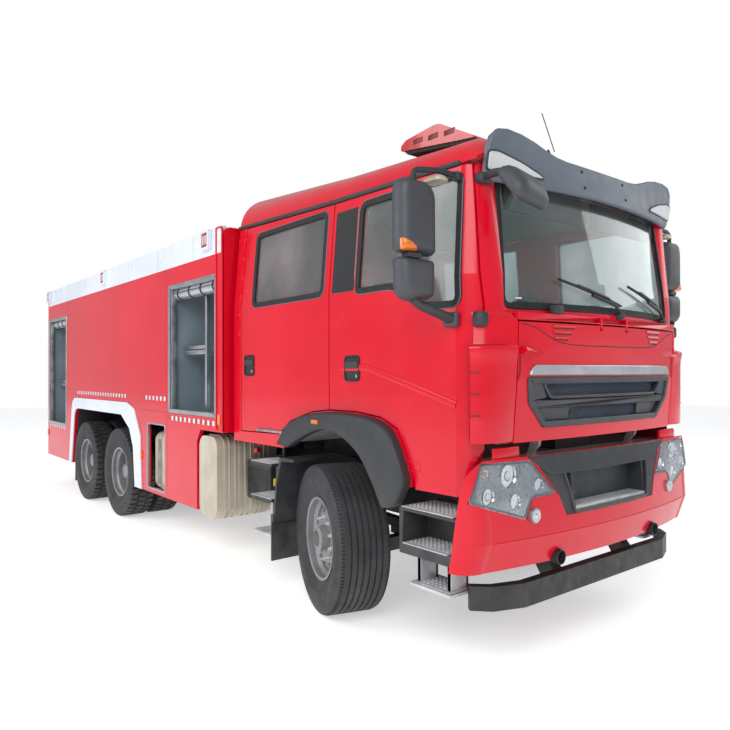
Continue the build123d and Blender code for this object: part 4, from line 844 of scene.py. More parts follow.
def band(outline, surface, inner, outer, low, high, look, round_by=0.003):
    """A band along a closed outline, from its inner to its outer offset."""
    r = min(round_by, (high - low) * 0.45, (outer - inner) * 0.3)
    rings = [[surface(u, v, up) for u, v in spread(outline, offset)] for offset, up in (
        (outer, low), (outer, high - r), (outer - r, high), (inner + r, high), (inner, high - r),
        (inner, low))]
    return skin(rings + rings[:1], look, caps=False)

def ridge(points, surface, width, low, high, look):
    """A rounded ridge along an open line on a surface."""
    flat = [Vector(p) for p in points]
    rings = []
    for i, here in enumerate(flat):
        ahead = (flat[min(i + 1, len(flat) - 1)] - flat[max(i - 1, 0)]).normalized()
        side = Vector((-ahead.y, ahead.x))
        rings.append([surface(*(here + side * (over * width / 2)), low + (high - low) * up)
                      for over, up in ((-1, 0), (-0.8, 0.7), (0, 1), (0.8, 0.7), (1, 0))])
    return skin(rings, look)

# %% A tray for the pieces of one fitting
class Tray(list):
    """A list of pieces that the tools above also add to, as in tray.block(...)."""

    def fit(self, name, body):
        """Join all pieces and let them ride on a body."""
        piece = join(name, self)
        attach(piece, body)
        return piece

    def fit_pair(self, name, body):
        """Fit the pieces on the left and their mirror image on the right."""
        left = join(name + "_left", self)
        right_piece = linked(name + "_right", left.data.copy())
        right_piece.data.transform(Matrix.Scale(-1, 4, Vector((0, 1, 0))))
        right_piece.data.flip_normals()
        paired = body + "_left" in frame["bodies"]
        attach(left, body + "_left" if paired else body)
        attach(right_piece, body + "_right" if paired else body)
        return left, right_piece

def tray_method(tool):
    """The same tool as a method that adds what it makes."""
    return lambda tray, *sizes, **named: tray.append(tool(*sizes, **named))

for tool in (block, skin, rod, lathe, sheet, band, ridge):
    setattr(Tray, tool.__name__, tray_method(tool))

# %% The truck's surfaces
def level(levels, z):
    """The row of a table of levels at a height."""
    z = min(max(z, levels[0][0]), levels[-1][0])
    for low, high in zip(levels, levels[1:]):
        if z <= high[0]:
            t = (z - low[0]) / (high[0] - low[0])
            return [a + (b - a) * t for a, b in zip(low, high)]

def bowed_across(levels, half):
    """A bowed surface across the truck; each level ends with its middle's and corner's x."""
    def surface(y, z, out):
        front, corner = level(levels, z)[-2:]
        rise = front - corner
        radius = (half * half + rise * rise) / (2 * rise)
        return at(front - radius + math.sqrt(max(radius * radius - y * y, 0)) + out, y, z)
    return surface

def facing_front(x):
    """A flat surface across the truck that faces forwards."""
    return lambda y, z, out: at(x + out, y, z)

def facing_rear(x):
    return lambda y, z, out: at(x - out, y, z)

def facing_up(z):
    return lambda x, y, out: at(x, y, z + out)

def facing_left(y):
    return lambda x, z, out: at(x, y + out, z)

def facing_right(y):
    return lambda x, z, out: at(x, y - out, z)

CAB_HALF, WAIST_Z, CAB_LEAN = 1.168, 2.3, 0.0878
# columns: z, the half width where it is needed, x in the middle, x at the corner
CAB_LEVELS = ((1.0, CAB_HALF, 1.420, 1.392), (2.04, CAB_HALF, 1.505, 1.440),
              (2.08, CAB_HALF, 1.600, 1.462), (WAIST_Z, CAB_HALF, 1.585, 1.450),
              (3.12, 1.096, 1.440, 1.345))
FLAP_LEVELS = ((1.335, 1.524, 1.488), (1.7, 1.566, 1.522), (2.03, 1.598, 1.534))
BUMPER_LEVELS = ((0.62, 1.55, 1.44), (0.79, 1.6, 1.5), (1.02, 1.58, 1.49), (1.251, 1.525, 1.476))
SCUTTLE_LEVELS = ((2.0, 1.600, 1.5365), (2.1, 1.600, 1.5365))
VISOR_LEVELS = ((2.832, 1.566, 1.415), (3.18, 1.480, 1.475))
on_cab_front = bowed_across(CAB_LEVELS, 0.92)
on_flap = bowed_across(FLAP_LEVELS, 0.895)
on_bumper = bowed_across(BUMPER_LEVELS, 1.1)
on_scuttle = bowed_across(SCUTTLE_LEVELS, 0.92)
on_visor = bowed_across(VISOR_LEVELS, 1.052)
on_body_side = facing_left(1.25)

def on_cab_side(x, z, out):
    """On the left side of the cab."""
    return at(x, level(CAB_LEVELS, z)[1] + out, z)

print("workshop ready")

# %% [markdown]
# ## Cab sides
# Black rubber frames each pane, dark recessed handles sit behind each door, and a gloss black
# panel hides the pillar between the windows. A rail along the roof's edge catches the rain, and
# pressed ribs stiffen the rear corner.

# %% Window rubbers and handles
FRONT_WINDOW = ((0.400, 2.300), (0.750, 2.300), (0.900, 2.240), (1.010, 2.150), (1.310, 2.140),
                (1.290, 2.880), (0.400, 2.880))
CREW_WINDOW = ((-1.030, 2.320), (-0.030, 2.320), (-0.030, 2.900), (-1.030, 2.900))

def window_rubber(tray, outline, corner):
    line = rounded(outline, corner, 0.12)
    tray.band(line, on_cab_side, -0.012, 0.030, -0.012, 0.006, "seal_rubber")
    tray.band(line, on_cab_side, 0.020, 0.034, 0.0, 0.0045, "visor_plastic")

def recessed_handle(tray, x, z):
    """A dark box with room for fingers and a grip across it."""
    edge = square_outline(x, z, 0.082, 0.085, 0.03, 0.05)
    tray.band(edge, on_cab_side, -0.012, 0.004, -0.008, 0.008, "seal_rubber")
    tray.sheet(spread(edge, -0.010), on_cab_side, -0.020, 0.001, "black_paint")
    tray.sheet(square_outline(x, z + 0.025, 0.070, 0.025, 0.015), on_cab_side, 0.0, 0.014,
               "dark_plastic", 0.004)
    tray.lathe((x + 0.055, CAB_HALF, z - 0.05), "y", ((0, 0.011), (0.010, 0.011), (0.012, 0.008)),
               "chrome", 14)

tray = Tray()
window_rubber(tray, CREW_WINDOW, 0.045)
recessed_handle(tray, -1.10, 1.805)
tray.block((-0.9, -0.16), (1.160, 1.176), (2.296, 2.304), "seal_rubber", 0.002)
tray.fit_pair("crew_door_trim", "crew_door")

tray = Tray()
window_rubber(tray, FRONT_WINDOW, (0.02, 0.06, 0.08, 0.08, 0.05, 0.05, 0.05))
recessed_handle(tray, 0.335, 1.77)
tray.sheet(box_outline(0.10, 0.355, 2.30, 2.885, 0.02, 0.15), on_cab_side, -0.004, 0.003,
           "gloss_black", 0.002)
crease = [(0.20 + 0.05 * k, 1.775 - 0.055 * max(0, k - 6) / 4) for k in range(23)]
tray.ridge(crease, on_cab_side, 0.05, -0.003, 0.008, "red_paint")
for x in (0.55, 0.74, 0.93):
    tray.band(square_outline(x, 1.165, 0.07, 0.025, 0.02), on_cab_side, -0.006, 0.010, -0.004,
              0.004, "red_paint")
tray.fit_pair("front_door_trim", "front_door")

# %% Rain rail, rear ribs and side lamp
RAIL_LINE = ((-1.38, 3.03), (0.065, 2.975), (1.30, 2.95))
RAIL_SECTION = ((-0.02, -0.012), (0.012, -0.012), (0.020, -0.004), (0.020, 0.012), (0.014, 0.012),
                (0.012, 0.002), (-0.02, 0.004))
tray = Tray()
tray.skin([[on_cab_side(x, z, 0.0) + Vector((0, out, up)) for out, up in RAIL_SECTION]
           for x, z in dense(RAIL_LINE, 0.2, closed=False)], "dark_plastic")
tray.ridge([(-1.36, 2.93), (-1.0, 2.93)], on_cab_side, 0.012, -0.002, 0.003, "red_paint")
for k in range(6):
    z = 2.06 + 0.165 * k
    tray.sheet(box_outline(-1.355, -1.255, z, z + 0.055, 0.024, 0.05), on_cab_side, -0.004, 0.007,
               "red_paint", 0.006)
tray.sheet(box_outline(-0.045, 0.035, 1.375, 1.405, 0.01), facing_left(1.243), -0.05, 0.012,
           "amber_lens", 0.004)
tray.fit_pair("cab_side_trim", "cab")

# %% Wheel-arch flares
FLARE_OUTER = ((-0.560, 1.190), (-0.510, 1.250), (-0.437, 1.340), (-0.300, 1.400), (-0.150, 1.438),
               (0.037, 1.462), (0.220, 1.468), (0.380, 1.463), (0.520, 1.455), (0.630, 1.437),
               (0.725, 1.405), (0.790, 1.350), (0.860, 1.230), (0.905, 1.130), (0.930, 1.070),
               (0.830, 0.910))
FLARE_INNER = ((-0.395, 1.175), (-0.285, 1.232), (-0.150, 1.287), (-0.020, 1.328), (0.110, 1.344),
               (0.225, 1.325), (0.320, 1.292), (0.420, 1.242), (0.510, 1.176), (0.610, 1.046),
               (0.710, 0.890))
FLARE_STATIONS = 56

def evened(points):
    """Points spread evenly along a line, rounded at its corners by cutting them twice."""
    line = [Vector(p) for p in points]
    for _ in range(2):
        cut = [line[0]]
        for a, b in zip(line, line[1:]):
            cut += [a.lerp(b, 0.25), a.lerp(b, 0.75)]
        line = cut + [line[-1]]
    lengths = [0.0]
    for a, b in zip(line, line[1:]):
        lengths.append(lengths[-1] + (b - a).length)
    out, i = [], 0
    for k in range(FLARE_STATIONS):
        want = lengths[-1] * k / (FLARE_STATIONS - 1)
        while i < len(line) - 2 and lengths[i + 1] < want:
            i += 1
        span = lengths[i + 1] - lengths[i]
        out.append(line[i].lerp(line[i + 1], (want - lengths[i]) / span if span else 0))
    return out

flare_rings = []
for over, under in zip(evened(FLARE_OUTER), evened(FLARE_INNER)):
    way = (under - over).normalized()
    flare_rings.append([at(p.x, y, p.y) for p, y in (
        (over, 1.1695), (over, 1.216), (over + way * 0.006, 1.232), (over + way * 0.022, 1.2418),
        (under - way * 0.022, 1.2418), (under - way * 0.006, 1.236), (under, 1.226),
        (under, 1.1695))])
tray = Tray()
tray.skin(flare_rings, "dark_plastic", sharp=50)
flares = tray.fit_pair("smooth_flare", "cab")
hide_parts("cab_flares")
print("cab sides dressed")

# %% [markdown]
# ## The front
# The front flap carries a brushed strip over a dark grille, two groups of stamped louvres and the
# seam of its upper edge. Clear covers close the headlamps over their round bowls, and a step plate
# crosses the middle of the bumper.

# %% Flap and strip
tray = Tray()
tray.sheet(across(((0.812, 1.722), (0.800, 1.748), (0.770, 1.783)), 0.012, 0.08), on_flap, -0.004,
           0.016, "bare_aluminium", 0.006)
half_seam = ((0.0, 1.902), (0.30, 1.902), (0.45, 1.906), (0.57, 1.920), (0.65, 1.950),
             (0.75, 1.995), (0.875, 2.022))
seam = to_side(-1, reversed(half_seam)) + list(half_seam)
tray.ridge(dense(seam, 0.04, closed=False), on_flap, 0.007, -0.002, 0.0014, "seal_rubber")
LOUVRE_TOP, LOUVRE_PITCH = 2.005, 0.034
for side in (-1, 1):
    for row in range(3):
        z = LOUVRE_TOP - LOUVRE_PITCH * row
        low, high = sorted((side * (0.425 + 0.025 * row), side * (0.625 - 0.010 * row)))
        # Painted shade: the deep_red sheet in each louvre's slot is the red paint made darker,
        # standing in for the shade under the lip above it.
        tray.sheet(box_outline(low, high, z - 0.011, z + 0.011, 0.006, 0.04), on_flap, -0.012,
                   -0.003, "deep_red")
        tray.ridge(dense([(low, z + 0.008), (high, z + 0.008)], 0.04, closed=False), on_flap, 0.016,
                   -0.003, 0.007, "red_paint")
    fin_rings = []
    for t in (0.0, 0.25, 0.5, 0.75, 1.0):
        y = side * (0.884 - 0.185 * t)
        top, low, out = 1.890 - 0.036 * t, 1.842 + 0.006 * t, 0.050 * (1 - t) + 0.004
        fin_rings.append([on_flap(y, z, up) for z, up in (
            (low, -0.004), (low + 0.006, out * 0.55), ((low + top) / 2, out),
            (top - 0.006, out * 0.85), (top, -0.004))])
    tray.skin(fin_rings, "red_paint")
    tray.ridge(to_side(side, ((0.892, 1.70), (0.880, 1.74), (0.880, 1.838))), on_flap, 0.012,
               -0.002, 0.004, "deep_red")
tray.fit("front_flap_trim", "service_flap")

# %% Grille
tray = Tray()
tray.band(across(((0.655, 1.420), (0.790, 1.560), (0.812, 1.704)), 0.02, 0.08), on_flap, -0.030,
          0.008, -0.05, 0.014, "charcoal_plastic", round_by=0.006)
tray.band(across(((0.60, 1.600), (0.665, 1.672)), 0.02, 0.08), on_flap, 0.0, 0.018, -0.03, 0.010,
          "charcoal_plastic", round_by=0.006)
for side in (-1, 1):
    cheek = to_side(side, ((0.64, 1.59), (0.785, 1.57), (0.80, 1.695), (0.69, 1.685)))
    tray.sheet(rounded(cheek, 0.008, 0.06), on_flap, -0.03, 0.002, "charcoal_plastic", 0.004)
tray.sheet(box_outline(-0.765, 0.765, 1.530, 1.576, 0.006, 0.08), on_flap, -0.03, 0.006,
           "charcoal_plastic", 0.006)
tray.sheet(across(((0.64, 1.43), (0.76, 1.56), (0.78, 1.69)), 0.02, 0.08), on_flap, -0.050, -0.032,
           "black_paint")
MESH_PITCH = 0.017
for step in range(-46, 47):
    for lean in (-1, 1):
        base = step * MESH_PITCH
        for reach, half, low, high in ((0.60, 0.035, 1.595, 1.675), (0.36, 0.04, 1.45, 1.53)):
            if abs(base) < reach:
                tray.ridge([(base - lean * half, low), (base + lean * half, high)], on_flap, 0.0035,
                           -0.034, -0.022, "visor_plastic")
for side in (-1, 1):
    plate = to_side(side, ((0.40, 1.45), (0.62, 1.45), (0.70, 1.53), (0.40, 1.53)))
    tray.sheet(rounded(plate, 0.01, 0.06), on_flap, -0.034, -0.014, "charcoal_plastic", 0.004)
grille_piece = tray.fit("grille_mesh", "service_flap")
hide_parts("grille")

# %% Scuttle, wipers and the block on the cowl
def from_axle(point):
    """A point of the frame, measured from the front axle."""
    return point - Vector((AXLE_X, 0, 0))

def wiper(tray, pivot_y, low_z):
    """A wiper parked along the glass, its blade towards the truck's right."""
    arm = [from_axle(on_cab_front(pivot_y - back, low_z + up, out)) for back, up, out in
           ((0, 0, 0.030), (0.06, 0.06, 0.035), (0.30, 0.115, 0.028))]
    blade = [from_axle(on_cab_front(pivot_y + 0.02 - 0.05 * k, low_z + 0.065 + 0.011 * k, 0.018))
             for k in range(13)]
    tray.rod(arm, 0.011, "black_paint", 8, bend=0.04)
    tray.rod(blade, 0.009, "seal_rubber", 6)
    tray.rod([p + Vector((0.012, 0, 0.004)) for p in blade[3:10]], 0.008, "black_paint", 6)
    tray.lathe(from_axle(on_cab_front(pivot_y, low_z, 0.0)), "x",
               ((-0.01, 0.026), (0.03, 0.026), (0.045, 0.018), (0.048, 0.004)), "dark_plastic", 18)

tray = Tray()
tray.sheet(box_outline(-0.905, 0.905, 2.041, 2.086, 0.004, 0.06), on_scuttle, -0.03, 0.001,
           "red_paint", 0.004)
tray.band(across(((0.94, 2.128), (0.90, 2.868)), 0.06, 0.08), on_cab_front, -0.012, 0.022, -0.012,
          0.007, "seal_rubber")
tray.sheet(box_outline(-0.88, 0.88, 2.105, 2.150, 0.01, 0.06), on_cab_front, 0.002, 0.006,
           "seal_rubber", 0.003)
tray.block((1.545, 1.600), (-0.64, -0.55), (2.085, 2.135), "dark_plastic", 0.012)
tray.sheet(box_outline(-0.86, -0.82, 2.165, 2.175, 0.004), on_cab_front, 0.004, 0.010,
           "pale_plastic")
wiper(tray, 0.03, 2.100)
wiper(tray, 0.74, 2.105)
for y in (-0.46, 0.46):
    tray.block((1.375, 1.40), (y - 0.40, y + 0.40), (2.70, 2.88), "sun_blind", 0.01)
tray.fit("scuttle_and_wipers", "cab")

# %% Headlamps
HEADLAMP = ((1.161, 1.238), (0.760, 1.230), (0.575, 1.023), (0.782, 1.012), (0.841, 0.896),
            (1.225, 1.020))
BOWL_BACK, BOWL_DEPTH = 1.452, 0.06
# columns: y, z and radius
BOWLS = ((0.946, 1.152, 0.066), (1.104, 1.051, 0.048), (0.912, 1.007, 0.044),
         (0.714, 1.082, 0.040), (1.118, 1.178, 0.026))
tray = Tray()
lamp_line = spread(rounded(HEADLAMP, (0.04, 0.03, 0.03, 0.03, 0.03, 0.03), 0.05), -0.006)
tray.sheet(lamp_line, on_bumper, 0.001, 0.005, "clear_cover", 0.003)
tray.band(lamp_line, on_bumper, -0.010, 0.0, -0.03, 0.001, "visor_plastic")
for y, z, radius in BOWLS:
    front = from_axle(on_bumper(y, z, 0)).x - 0.008
    deep = min(front - BOWL_BACK, BOWL_DEPTH)
    bowl = [(front + deep * back + lip, radius * share) for back, lip, share in (
        (-1, 0, 0.35), (-0.8, 0, 0.62), (-0.4, 0, 0.86), (0, 0, 0.98), (0, 0.004, 1.04),
        (0, -0.006, 1.08))]
    bulb = [(front - deep * 0.55 + radius * 0.38 * math.cos(t), radius * 0.62 * math.sin(t))
            for t in (0.05, 0.4, 0.8, 1.2, math.pi / 2)]
    tray.lathe((0, y, z), "x", bowl, "chrome", 26)
    tray.lathe((0, y, z), "x", bulb, "amber_lens" if radius < 0.03 else "clear_cover", 22)
indicator = ((0.965, 0.985), (1.20, 1.035), (1.19, 1.000), (0.975, 0.950))
tray.sheet(rounded(indicator, 0.012, 0.05), on_bumper, -0.05, -0.030, "amber_lens", 0.004)
FOG_LAMP = (0, 0.78, 0.916)
tray.lathe(FOG_LAMP, "x", ((1.545, 0.036), (1.562, 0.036), (1.566, 0.030), (1.561, 0.022),
                           (1.556, 0.004)), "pale_plastic", 24)
tray.lathe(FOG_LAMP, "x", ((1.55, 0.022), (1.558, 0.020), (1.561, 0.010), (1.562, 0.002)), "chrome",
           20)
tray.fit_pair("headlamp", "chassis")

# %% Bumper
tray = Tray()
for k in range(15):
    y = -0.39 + 0.0557 * k
    tray.block((1.446, 1.560), (y - 0.020, y + 0.020), (0.921, 0.926), "step_metal", 0.0015, 1)
tray.band(across(((0.475, 1.138), (0.418, 0.902)), 0.02, 0.08), on_bumper, -0.004, 0.016, -0.01,
          0.006, "charcoal_plastic")
tray.block((1.535, 1.568), (-0.418, 0.418), (0.897, 0.924), "step_metal", 0.006)
tray.sheet(across(((0.60, 1.128), (0.79, 1.250)), 0.02, 0.06), on_bumper, -0.008, 0.010,
           "dark_plastic", 0.010)
for side in (-1, 1):
    tray.block((1.446, 1.470), sorted((side * 0.815, side * 1.04)), (1.225, 1.312), "red_paint",
               0.008)
tray.ridge([(-1.08 + 0.06 * k, 0.79) for k in range(37)], on_bumper, 0.014, -0.002, 0.003,
           "red_paint")
tray.fit("bumper_trim", "chassis")
print("front dressed")

# %% [markdown]
# ## Visor, mirrors and warning lamps
# The sun visor dips in the middle and rises at both ends, over a white lamp at each corner. Mirror
# housings are soft moulded shells, so they are lofted from rounded outlines. The warning lamps on
# the roof are two red tents with a dark middle.

# %% Visor
HALF_VISOR = [(0.0, 3.050), (0.36, 3.052), (0.46, 3.062), (0.56, 3.088), (0.66, 3.118),
              (0.78, 3.140), (0.90, 3.146), (0.98, 3.132), (1.03, 3.085), (1.046, 3.03),
              (1.046, 2.86), (1.03, 2.838), (0.6, 2.836), (0.0, 2.836)]
VISOR_LAMP = ((1.040, 2.895), (1.040, 2.995), (0.97, 3.0), (0.80, 2.965), (0.66, 2.918),
              (0.62, 2.895))
visor = Tray()
visor.sheet(dense(HALF_VISOR[:-1] + to_side(-1, reversed(HALF_VISOR[1:-1])), 0.05), on_visor,
            -0.030, 0.0, "visor_plastic", 0.010)
for side in (-1, 1):
    lamp = rounded(to_side(side, VISOR_LAMP), 0.02, 0.05)
    visor.sheet(lamp, on_visor, -0.01, 0.009, "pale_plastic", 0.006)
    visor.band(lamp, on_visor, 0.0, 0.010, -0.004, 0.006, "dark_plastic")
    for y, z in ((0.239, 3.005), (0.24, 2.898)):
        visor.lathe(from_axle(on_visor(side * y, z, 0)), "x",
                    ((-0.004, 0.012), (0.002, 0.012), (0.003, 0.007)), "seal_rubber", 12)
    visor.rod([(1.36, side * 1.04, 2.90), (1.33, side * 1.06, 2.86)], 0.014, "dark_plastic", 8)
visor.rod([(1.50, -0.5, 3.085), (1.41, -0.5, 3.35)], 0.003, "seal_rubber", 6)
visor.lathe((1.455, -0.5, 3.070), "z", ((0, 0.018), (0.02, 0.014), (0.04, 0.006)), "dark_plastic",
            12)

# %% Front mirror
def pod(outline, surface, stations, look):
    """A moulded shell lofted from one outline; stations give (out, inset) pairs."""
    us, vs = zip(*outline)
    mid_u, mid_v = (min(us) + max(us)) / 2, (min(vs) + max(vs)) / 2
    half_u, half_v = (max(us) - min(us)) / 2, (max(vs) - min(vs)) / 2
    return skin([[surface(mid_u + (u - mid_u) * (1 - inset / half_u),
                          mid_v + (v - mid_v) * (1 - inset / half_v), out) for u, v in outline]
                 for out, inset in stations], look, sharp=50)

Tray.pod = tray_method(pod)
lean = Matrix.Rotation(math.radians(52), 3, "Y") @ Matrix.Rotation(math.radians(-8), 3, "X")

def on_front_mirror(u, v, out):
    return at(1.678, -1.028, 2.738) + lean @ Vector((v, u, out))

head = across(((0.165, -0.110), (0.150, 0.115)), 0.06, 0.05)
visor.pod(head, on_front_mirror, ((-0.035, 0.012), (-0.022, 0.0), (0.010, 0.002), (0.036, 0.018),
                                  (0.052, 0.045), (0.058, 0.08)), "mirror_shell")
visor.sheet(spread(head, -0.016), on_front_mirror, -0.036, -0.033, "mirror_face")
visor.rod([(1.405, -1.035, 2.852), (1.49, -1.075, 2.850), (1.60, -1.085, 2.835),
           (1.672, -1.050, 2.775)], 0.023, "dark_plastic", 10, bend=0.06)
visor.block((1.355, 1.425), (-1.075, -0.98), (2.818, 2.882), "dark_plastic", 0.018, 3)
visor_piece = visor.fit("roof_visor", "cab")
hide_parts("visor")

# %% Door mirrors
MAIN_MIRROR = ((1.290, 2.395), (1.556, 2.40), (1.556, 2.74), (1.535, 2.808), (1.35, 2.806),
               (1.290, 2.75))
WIDE_MIRROR = ((1.305, 2.150), (1.48, 2.132), (1.548, 2.17), (1.552, 2.372), (1.298, 2.372))
SHELL = ((0.0, 0.004), (0.004, 0.0), (0.045, 0.0), (0.080, 0.012), (0.100, 0.035), (0.106, 0.07))
# columns: x, y, z, half width and half height of the lower arm
ARM = ((1.292, 1.205, 2.045, 0.042, 0.030), (1.28, 1.30, 2.075, 0.038, 0.026),
       (1.26, 1.40, 2.105, 0.032, 0.022), (1.252, 1.455, 2.135, 0.028, 0.018))
main = rounded(MAIN_MIRROR, (0.02, 0.03, 0.08, 0.05, 0.05, 0.05), 0.04)
wide = rounded(WIDE_MIRROR, (0.04, 0.06, 0.05, 0.03, 0.03), 0.04)
tray = Tray()
for outline in (main, wide):
    tray.pod(outline, facing_front(1.195), SHELL, "mirror_shell")
for outline in (main, wide):
    tray.sheet(spread(outline, -0.014), facing_front(1.194), -0.001, 0.004, "mirror_face")
lamp = rounded([(1.440, 2.404), (1.552, 2.404), (1.552, 2.474), (1.50, 2.462)], 0.015, 0.03)
tray.pod(lamp, facing_front(1.258), ((0.0, 0.0), (0.020, 0.002), (0.034, 0.010), (0.040, 0.022)),
         "amber_lens")
tray.block((1.21, 1.275), (1.40, 1.50), (2.368, 2.400), "dark_plastic", 0.008)
tray.block((1.235, 1.342), (1.172, 1.212), (1.998, 2.084), "mirror_shell", 0.016, 3)
tray.skin([[at(x + half_x * math.cos(t), y, z + half_z * math.sin(t)) for t in circle(12)]
           for x, y, z, half_x, half_z in ARM], "dark_plastic")
tray.rod([(1.245, 1.44, 2.79), (1.245, 1.44, 2.862), (1.29, 1.30, 2.872), (1.293, 1.15, 2.866)],
         0.017, "dark_plastic", 10, bend=0.05)
tray.block((1.265, 1.320), (1.110, 1.165), (2.838, 2.888), "dark_plastic", 0.015, 3)
tray.pod(box_outline(1.19, 1.33, 1.235, 1.335, 0.04, 0.04), facing_up(2.812),
         ((0.0, 0.0), (0.012, 0.0), (0.028, 0.012), (0.038, 0.03)), "cream_alloy")
mirrors = tray.fit_pair("mirror_shell", "front_door")
for piece, side in zip(mirrors, ("left", "right")):
    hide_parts("mirror_" + side)

# %% Warning lamps
TENT = ((0.372, 3.372), (0.424, 3.402), (0.70, 3.430), (0.76, 3.424), (1.060, 3.262),
        (1.066, 3.245), (0.372, 3.335))
TENT_BASE = ((0.40, 3.330), (1.062, 3.243), (1.060, 3.222), (0.43, 3.302))
DARK_MIDDLE = ((0.45, 3.300), (0.425, 3.345), (0.69, 3.396), (1.03, 3.236), (1.03, 3.212))
TENT_LOW, TENT_HIGH = 0.335, 0.745
tray = Tray()
for side in (-1, 1):
    low, high = sorted((side * TENT_LOW, side * TENT_HIGH))
    tray.sheet(rounded(TENT, 0.012), facing_left(low), 0.0, high - low, "red_lens", 0.012)
    tray.sheet(TENT_BASE, facing_left(low + 0.01), 0.0, high - low - 0.02, "seal_rubber")
    for k in range(3):
        x, outer = 0.50 + 0.15 * k, side * 0.746
        tray.block((x, x + 0.10), sorted((outer - side * 0.01, outer)),
                   (3.345 - 0.012 * k, 3.385 - 0.012 * k), "deep_red", 0.004)
tray.sheet(rounded(DARK_MIDDLE, 0.01), facing_left(-TENT_LOW), 0.0, 2 * TENT_LOW, "black_paint",
           0.01)
for k in range(9):
    y = -0.29 + 0.0725 * k
    tray.block((0.72, 0.98), (y - 0.006, y + 0.006), (3.26, 3.33), "seal_rubber", 0.003)
for side in (-1, 1):
    tray.block((0.56, 0.90), sorted((side * 0.50, side * 0.56)), (3.215, 3.30), "galvanised", 0.006)
bar_piece = tray.fit("warning_lamps", "cab")
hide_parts("lightbar")
print("visor, mirrors and lamps ready")

# %% [markdown]
# ## The rear body
# Each locker opening wears an aluminium frame, with its shutter rolled up in a barrel above, a
# post and a shelf inside. Lamps in white frames sit on the roof band, and reflective squares run
# along the lower edges.

# %% Lockers
# columns: front, rear, sill and top of each opening
LOCKERS = ((-1.57, -2.65, 1.35, 2.63), (-6.545, -7.56, 0.965, 2.595))
tray = Tray()
for front, rear, low, high in LOCKERS:
    tray.band(box_outline(rear, front, low, high, 0.012, 0.3), on_body_side, -0.028, 0.012, -0.04,
              0.006, "bare_aluminium")
    for x in (front - 0.03, rear + 0.03):
        tray.block((x - 0.012, x + 0.012), (1.185, 1.235), (low, high), "galvanised", 0.003)
    barrel_z = high - 0.075
    tray.rod([(rear + 0.05, 1.155, barrel_z), (front - 0.05, 1.155, barrel_z)], 0.062,
             "shutter_slats", 20)
    for k in range(4):
        x = rear + 0.14 + (front - rear - 0.28) * k / 3
        tray.lathe((x - 0.012, 1.155, barrel_z), "x",
                   ((0, 0.06), (0, 0.066), (0.024, 0.066), (0.024, 0.06)), "seal_rubber", 20)
    post = (front + rear) / 2 + 0.05
    shelf = (rear + 0.05, post - 0.02)
    for x, y, z, look, round_by, steps in (
        ((rear + 0.03, front - 0.03), (1.19, 1.236), (high - 0.032, high - 0.006),
         "bare_aluminium", 0.004, 2),
        ((post - 0.02, post + 0.02), (1.08, 1.12), (low + 0.006, high - 0.13), "bare_aluminium",
         0.003, 2),
        (shelf, (1.085, 1.115), (low + 0.58, low + 0.612), "bare_aluminium", 0.003, 2),
        (shelf, (1.085, 1.115), (low + 0.635, low + 0.667), "bare_aluminium", 0.003, 2),
        (shelf, (0.55, 1.12), (low + 0.60, low + 0.62), "galvanised", 0.003, 2),
        ((post + 0.06, post + 0.34), (0.75, 1.05), (low + 0.012, low + 0.26), "pale_plastic",
         0.02, 3),
        ((post + 0.09, post + 0.31), (1.045, 1.056), (low + 0.15, low + 0.19), "seal_rubber",
         0.004, 2),
    ):
        tray.block(x, y, z, look, round_by, steps)
tray.fit_pair("locker_fittings", "chassis")

# %% Roof band lamps and the front column
tray = Tray()
for x in (-1.735, -4.74, -7.49):
    outline = box_outline(x - 0.082, x + 0.082, 2.880, 3.050, 0.030, 0.05)
    tray.band(outline, facing_left(1.278), -0.020, 0.006, -0.028, 0.014, "white_paint")
    tray.sheet(spread(outline, -0.020), facing_left(1.278), -0.01, 0.008, "red_lens", 0.006)
    for k in range(3):
        tray.block((x - 0.046 + 0.036 * k, x - 0.026 + 0.036 * k), (1.284, 1.2875), (2.925, 3.005),
                   "pale_plastic", 0.002, 1)
tray.band(box_outline(-1.565, -1.43, 1.22, 3.055, (0, 0, 0.06, 0.02), 0.3), on_body_side, -0.016,
          0.0, -0.006, 0.010, "red_paint")
for x in (-2.05, -2.95, -3.85, -5.6, -6.5):
    tray.ridge([(x, 2.83), (x, 3.05)], on_body_side, 0.004, -0.002, 0.0012, "locker_paint")
tray.fit_pair("roof_band_lamps", "chassis")

# %% Reflective squares and side markers
SQUARE, SQUARE_STEP, WALL_OUT = 0.045, 0.052, 1.2505

def squares(tray, start, count, z):
    """White and red squares in turn, laid by the rows tree."""
    for shift, look, number in ((0, "tape_white", (count + 1) // 2), (1, "tape_red", count // 2)):
        x = start - shift * SQUARE_STEP
        patch = block((x - SQUARE, x), (WALL_OUT, WALL_OUT + 0.0014), (z, z + SQUARE), look, 0)
        tray.append(rows("squares", patch, look, number, (-2 * SQUARE_STEP, 0, 0)))

tray = Tray()
for start, count, z in ((-1.60, 20, 1.262), (-2.74, 12, 1.452), (-3.95, 40, 1.452),
                        (-6.60, 18, 0.905)):
    squares(tray, start, count, z)
for x, z in ((-1.50, 1.325), (-3.43, 0.83), (-7.60, 0.80)):
    tray.sheet(square_outline(x, z, 0.025, 0.05, 0.012), facing_left(WALL_OUT), 0, 0.012,
               "amber_lens", 0.005)
tray.fit_pair("reflective_squares", "chassis")

